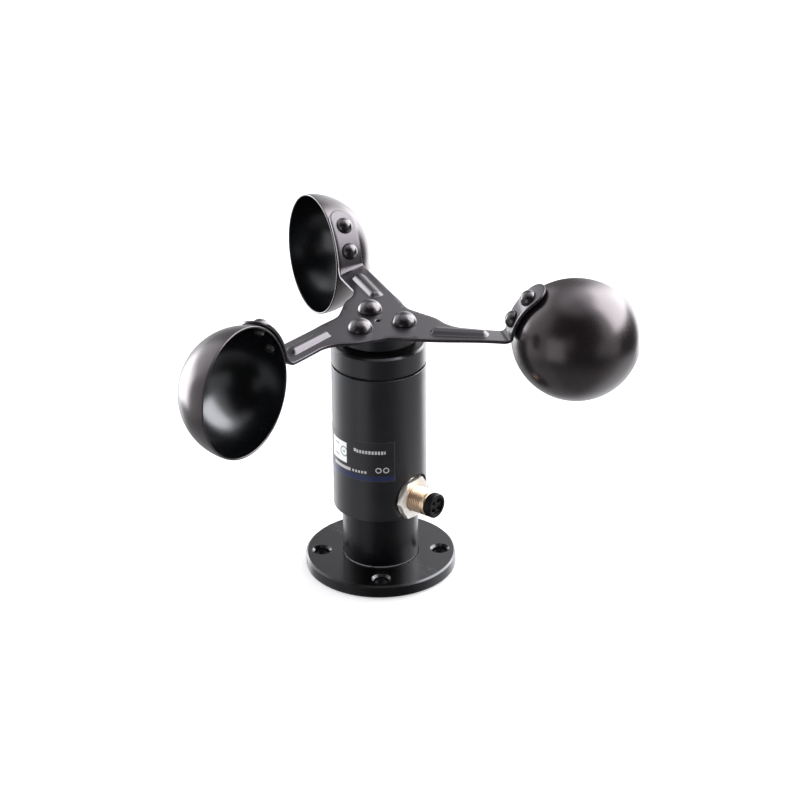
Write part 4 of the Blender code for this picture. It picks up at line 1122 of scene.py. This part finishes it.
def cup_frame(arm):
    """Frame at the middle of a cup's opening, with Z towards its closed back."""
    turn = math.radians(CUP_AZ + 120.0 * arm + CUP_TOE_IN)
    lift = math.radians(CUP_LIFT)
    level = Vector((-math.sin(turn), math.cos(turn), 0))
    opening = level * math.cos(lift) + Vector((0, 0, 1)) * math.sin(lift)
    return frame_at(Vector((*arm_xy(CUP_CIRCLE_R, 0, arm), CUP_Z)), -opening)


def bowl(radius, depth, steps=56):
    """Quarter ellipse from just above the rim to the pole, as (r, z)."""
    turns = [math.pi / 2 * i / steps for i in range(1, steps)]
    return [(radius * math.cos(t), depth * math.sin(t)) for t in turns] + [(0, depth)]


def cup_profile():
    half = CUP_WALL / 2
    turns = [math.radians(t) for t in range(0, 181, 20)]
    rim = [(CUP_R - half - half * math.cos(t), RIM_ROUND - RIM_ROUND * math.sin(t))
           for t in turns]
    return bowl(CUP_R - CUP_WALL, CUP_DEPTH - CUP_WALL)[::-1] + rim + bowl(CUP_R, CUP_DEPTH)


def depth_to_cup(rivet_frame, to_cup):
    """Distance down a rivet's axis to the cup's inner face, by repeated correction."""
    radius, cup_depth = CUP_R - CUP_WALL, CUP_DEPTH - CUP_WALL
    origin = to_cup @ rivet_frame.translation
    axis = to_cup.to_3x3() @ rivet_frame.to_3x3().col[2]
    depth = 0.0
    for _ in range(40):
        point = origin - axis * depth
        level = math.sqrt((point.x ** 2 + point.y ** 2) / radius ** 2
                          + (point.z / cup_depth) ** 2)
        depth += (level - 1) * radius
    return depth


def cup_rivet(depth):
    """Rivet with a flat head inside the cup and a dome on the ear, as (r, z)."""
    base = PLATE_T / 2
    tail = [(0, -1.25), (1.2, -1.2), (2.1, -0.85), (2.5, -0.35), (2.55, -0.02), (1.6, 0.1)]
    brim = [(1.6, -0.05), (3.75, -0.02), (3.96, 0.1), (4.0, 0.28)]
    return ([(r, z - depth) for r, z in tail] + [(r, base + z) for r, z in brim]
            + dome(radius=4.0, height=3.05, base=base + 0.28, steps=20))


for arm in range(3):
    at = cup_frame(arm)
    to_cup = at.inverted()
    number = arm + 1
    cup = mesh_object("cup_shell_%d" % number, *lathe(cup_profile(), 160), at, smooth=60,
                      weighted=False)
    place(cup, "rotor", M_CUP, "cup_%d" % number)
    cup.data.materials.append(M_CUP_IN_SHADED)
    turn = to_cup.to_3x3()
    for face in cup.data.polygons:
        centre = to_cup @ (face.center / MM)
        if centre.z > RIM_ROUND + 0.01 and (turn @ face.normal).dot(centre) < 0:
            face.material_index = 1
    for letter, degrees in zip("ab", CUP_RIVET_DEG):
        centre, _, normal = ear_section(math.radians(degrees))
        rivet_at = frame_at(arm_vector(centre, arm), arm_vector(normal, arm))
        profile = cup_rivet(depth_to_cup(rivet_at, to_cup))
        rivet = mesh_object("cup_rivet_dome_%d%s" % (number, letter), *lathe(profile, 56),
                            rivet_at, smooth=40)
        place(rivet, "rotor", M_RIVET, "cup_%d_rivet_%s" % (number, letter))

# ------------------------------------------------------------------ inner parts
M_ZINC = mat_metal("zinc_screws", (0.62, 0.63, 0.66), rough=0.3)
M_STEEL = mat_metal("ground_bearing_steel", (0.72, 0.72, 0.74), rough=0.16,
                    grain_scale=3600.0, strength=0.08)
M_CAGE = mat_plain("polyamide_cage", (0.48, 0.43, 0.30), rough=0.45, grain_scale=1800.0,
                   strength=0.15)
M_ALU = mat_metal("turned_aluminium", (0.78, 0.79, 0.81), rough=0.28, grain_scale=900.0,
                  strength=0.2, stretch=(0.1, 0.1, 6.0))
M_MAGNET = mat_metal("nickel_magnet", (0.60, 0.59, 0.57), rough=0.22)
M_BOARD = mat_plain("solder_mask", (0.012, 0.10, 0.035), rough=0.32, grain_scale=900.0,
                    strength=0.1, spread=0.4)
M_SOCKET = mat_plain("socket_nylon", (0.70, 0.69, 0.64))
M_CABLE = mat_plain("cable_sheath", (0.11, 0.11, 0.115), rough=0.62, grain_scale=1400.0,
                    strength=0.35, spread=0.4)
M_CHIP = mat_plain("chip_epoxy", (0.012, 0.012, 0.013), rough=0.55, grain_scale=2600.0,
                   strength=0.35)
# By the start of the node's name; any other part is zinc.
INNER = {
    "bearing_carrier": M_ALU, "outer_race_spacer": M_ALU, "inner_race_spacer": M_ALU,
    "magnet_holder": M_ALU, "sensing_magnet": M_MAGNET, "circuit_board": M_BOARD,
    "board_socket": M_SOCKET, "signal_cable": M_CABLE, "hall_sensor": M_CHIP,
    "spindle_shaft": M_STEEL, "upper_bearing": M_STEEL, "lower_bearing": M_STEEL,
    "upper_ball_cage": M_CAGE, "lower_ball_cage": M_CAGE}
for name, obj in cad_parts.items():
    if obj.hide_render:
        continue
    material = next((m for start, m in INNER.items() if name.startswith(start)), M_ZINC)
    obj.data.materials.clear()
    obj.data.materials.append(material)


# ------------------------------------------------------------------ floor
def mat_floor():
    """Pale floor with a little glow of its own."""
    nodes = Material("pale_floor")
    nodes.tree.nodes.remove(nodes.bsdf)
    cloud = nodes.noise(nodes.object_coords(), scale=9.0)
    tone = nodes.mix(cloud, (0.90, 0.90, 0.90), (0.92, 0.92, 0.92))
    diffuse = nodes.new("ShaderNodeBsdfDiffuse", tone).outputs[0]
    glow = nodes.new("ShaderNodeEmission", (1, 1, 1, 1), 0.42).outputs[0]
    both = nodes.new("ShaderNodeAddShader", diffuse, glow).outputs[0]
    nodes.put(nodes.tree.nodes["Material Output"].inputs[0], both)
    return nodes.mat


FLOOR_HALF, FLOOR_Z = 6, -0.0003                   # metres
floor_mesh = bpy.data.meshes.new("floor")
floor_mesh.from_pydata([(x * FLOOR_HALF, y * FLOOR_HALF, FLOOR_Z)
                        for x, y in ((-1, -1), (1, -1), (1, 1), (-1, 1))], [], [(0, 1, 2, 3)])
floor = bpy.data.objects.new("floor", floor_mesh)
SCENE.collection.objects.link(floor)
floor_mesh.materials.append(mat_floor())
floor.visible_glossy = False

# ------------------------------------------------------------------ world
# What shiny surfaces see. Panels have soft edges; columns: bearing from and to (0 behind the
# object, +90 right, -90 left), elevation from and to, level, softness at the left, right,
# low and high side. Angles are in degrees.
DARK_PANELS = [
    (57, 106, -26, 11, 0.92, 4, 8, 6, 3.5),        # dark sill under the window
    (-118, -8, -72, -30, 0.6, 8, 8, 6, 6),
    (-26, 4, 8, 46, 0.30, 8, 8, 8, 8)]
LIGHT_PANELS = [
    (35, 110, 12, 63, 10.2, 17, 7, 3.0, 9),        # window, high on the right
    (18, 134, 8, 76, 1.3, 12, 12, 8, 8),           # its pale wall
    (20, 50, -26, 13, 4.0, 6, 4, 6, 4),            # bright panel beside the sill
    (2, 24, -26, 36, 1.2, 6, 6, 8, 8),
    (106, 148, -16, 8, 0.8, 8, 8, 6, 6),
    (18, 98, -72, -26, 0.48, 14, 14, 10, 10),      # table lit by the window
    (-73, -36, -20, 13, 9.6, 5, 9, 5, 9),          # second window, behind and to the left
    (-84, -32, 16, 50, 2.0, 9, 9, 9, 9),
    (-46, -22, -32, 8, 1.3, 6, 6, 6, 6),
    (-120, -80, -22, 46, 0.45, 9, 9, 9, 9),
    (-156, -124, -24, 12, 1.6, 6, 6, 7, 7),
    (-171, -158, -2, 20, 0.35, 4, 4, 6, 6)]


def build_world():
    world = bpy.data.worlds.new("studio")
    SCENE.world = world
    world.use_nodes = True
    world.node_tree.nodes.clear()
    nodes = Nodes(world.node_tree)
    direction = nodes.new("ShaderNodeTexCoord").outputs["Generated"]
    dir_x, dir_y, dir_z = nodes.split(direction)
    to_degrees = 180.0 / math.pi
    bearing = nodes.mul(nodes.math("ARCTAN2", dir_x, dir_y), to_degrees)
    elevation = nodes.mul(nodes.math("ARCSINE", dir_z), to_degrees)

    def step(value, edge, soft, rising=True):
        return nodes.remap(value, (edge - soft, edge + soft), (0.0, 1.0) if rising else (1.0, 0.0),
                           interpolation_type="SMOOTHSTEP")

    def panel(left, right, low, high, level, soft_left, soft_right, soft_low, soft_high):
        across = nodes.mul(step(bearing, left, soft_left), step(bearing, right, soft_right, False))
        upward = nodes.mul(step(elevation, low, soft_low), step(elevation, high, soft_high, False))
        return nodes.mul(nodes.mul(across, upward), level)

    def blob(towards, inner, outer, level):
        """A round patch of light, full within inner degrees and gone at outer."""
        axis = Vector(towards).normalized()
        cosine = nodes.add(nodes.mul(dir_x, axis.x),
                           nodes.add(nodes.mul(dir_y, axis.y), nodes.mul(dir_z, axis.z)))
        return nodes.remap(nodes.math("ARCCOSINE", cosine),
                           (math.radians(outer), math.radians(inner)), (0.0, level),
                           interpolation_type="SMOOTHSTEP")

    def background(level, blue=1.03):
        colour = nodes.combine(level, level, nodes.mul(level, blue))
        return nodes.new("ShaderNodeBackground", colour).outputs[0]

    # the room is dim towards the camera and below
    front = step(nodes.math("ABSOLUTE", bearing), 116, 30, rising=False)
    room = nodes.math("ADD", 0.03, nodes.mul(front, 0.80))
    room = nodes.mul(room, step(elevation, -68, 22))
    for dark in DARK_PANELS:
        room = nodes.mul(room, nodes.math("SUBTRACT", 1.0, panel(*dark)))
    ceiling = nodes.mul(step(elevation, 62, 13), 1.4)
    table = nodes.mul(step(elevation, -36, 16, rising=False), 0.30)
    overhead = blob((0.25, 0.28, 0.93), inner=6, outer=26, level=1.5)
    shiny = nodes.add(room, ceiling, table, *[panel(*light) for light in LIGHT_PANELS], overhead)

    # what other surfaces are lit by
    soft = nodes.add(0.45, nodes.remap(dir_y, (-0.9, 0.6), (0.0, 0.35)),
                     blob((0.45, 0.39, 0.81), inner=10, outer=40, level=2.0),
                     blob((-0.96, 0.22, 0.10), inner=10, outer=40, level=2.0))
    rays = nodes.new("ShaderNodeLightPath").outputs
    white = nodes.new("ShaderNodeBackground", (1.0, 1.0, 1.0, 1.0)).outputs[0]
    seen = nodes.new("ShaderNodeMixShader", rays["Is Glossy Ray"], background(soft),
                     background(shiny)).outputs[0]
    seen = nodes.new("ShaderNodeMixShader", rays["Is Camera Ray"], seen, white).outputs[0]
    nodes.new("ShaderNodeOutputWorld", seen)


build_world()


# ------------------------------------------------------------------ lights (metres)
def softbox(name, direction, width, height, radiance, colour, distance=1.3, target=(0, 0, 0.1)):
    """Diffuse light only: the shapes seen in reflections are painted on the world."""
    light = bpy.data.lights.new(name, "AREA")
    light.shape = "RECTANGLE"
    light.size = width
    light.size_y = height
    light.energy = radiance * math.pi * width * height
    light.color = colour
    light.specular_factor = 0.0
    obj = bpy.data.objects.new(name, light)
    SCENE.collection.objects.link(obj)
    towards = Vector(direction).normalized()
    obj.location = Vector(target) + towards * distance
    obj.rotation_euler = (-towards).to_track_quat("-Z", "Y").to_euler()
    obj.visible_glossy = False


softbox("softbox_right", (0.80, 0.50, 0.42), width=0.70, height=0.62, radiance=3.0,
        colour=(1.0, 0.99, 0.97))
softbox("softbox_left", (-0.96, 0.20, 0.22), width=0.60, height=0.62, radiance=2.5,
        colour=(0.97, 0.98, 1.0))

# ------------------------------------------------------------------ camera (mm)
EYE, TARGET = Vector((0.0, -971.8, 560.5)), Vector((9.49, 0.0, 83.67))
ROLL = math.radians(-0.43)
cam_data = bpy.data.cameras.new("camera")
cam_data.sensor_fit = "HORIZONTAL"
cam_data.sensor_width = 36.0
cam_data.lens = 107.1
cam_data.clip_start = 0.01
cam_data.clip_end = 50.0
camera = bpy.data.objects.new("camera", cam_data)
SCENE.collection.objects.link(camera)
forward = (TARGET - EYE).normalized()
level_right = forward.cross(Vector((0, 0, 1))).normalized()
level_up = level_right.cross(forward)
right = level_right * math.cos(ROLL) + level_up * math.sin(ROLL)
up = -level_right * math.sin(ROLL) + level_up * math.cos(ROLL)
pose = Matrix((right, up, -forward)).transposed().to_4x4()
pose.translation = EYE * MM
camera.matrix_world = pose
SCENE.camera = camera
SCENE.view_settings.view_transform = "Standard"

bpy.context.view_layer.update()
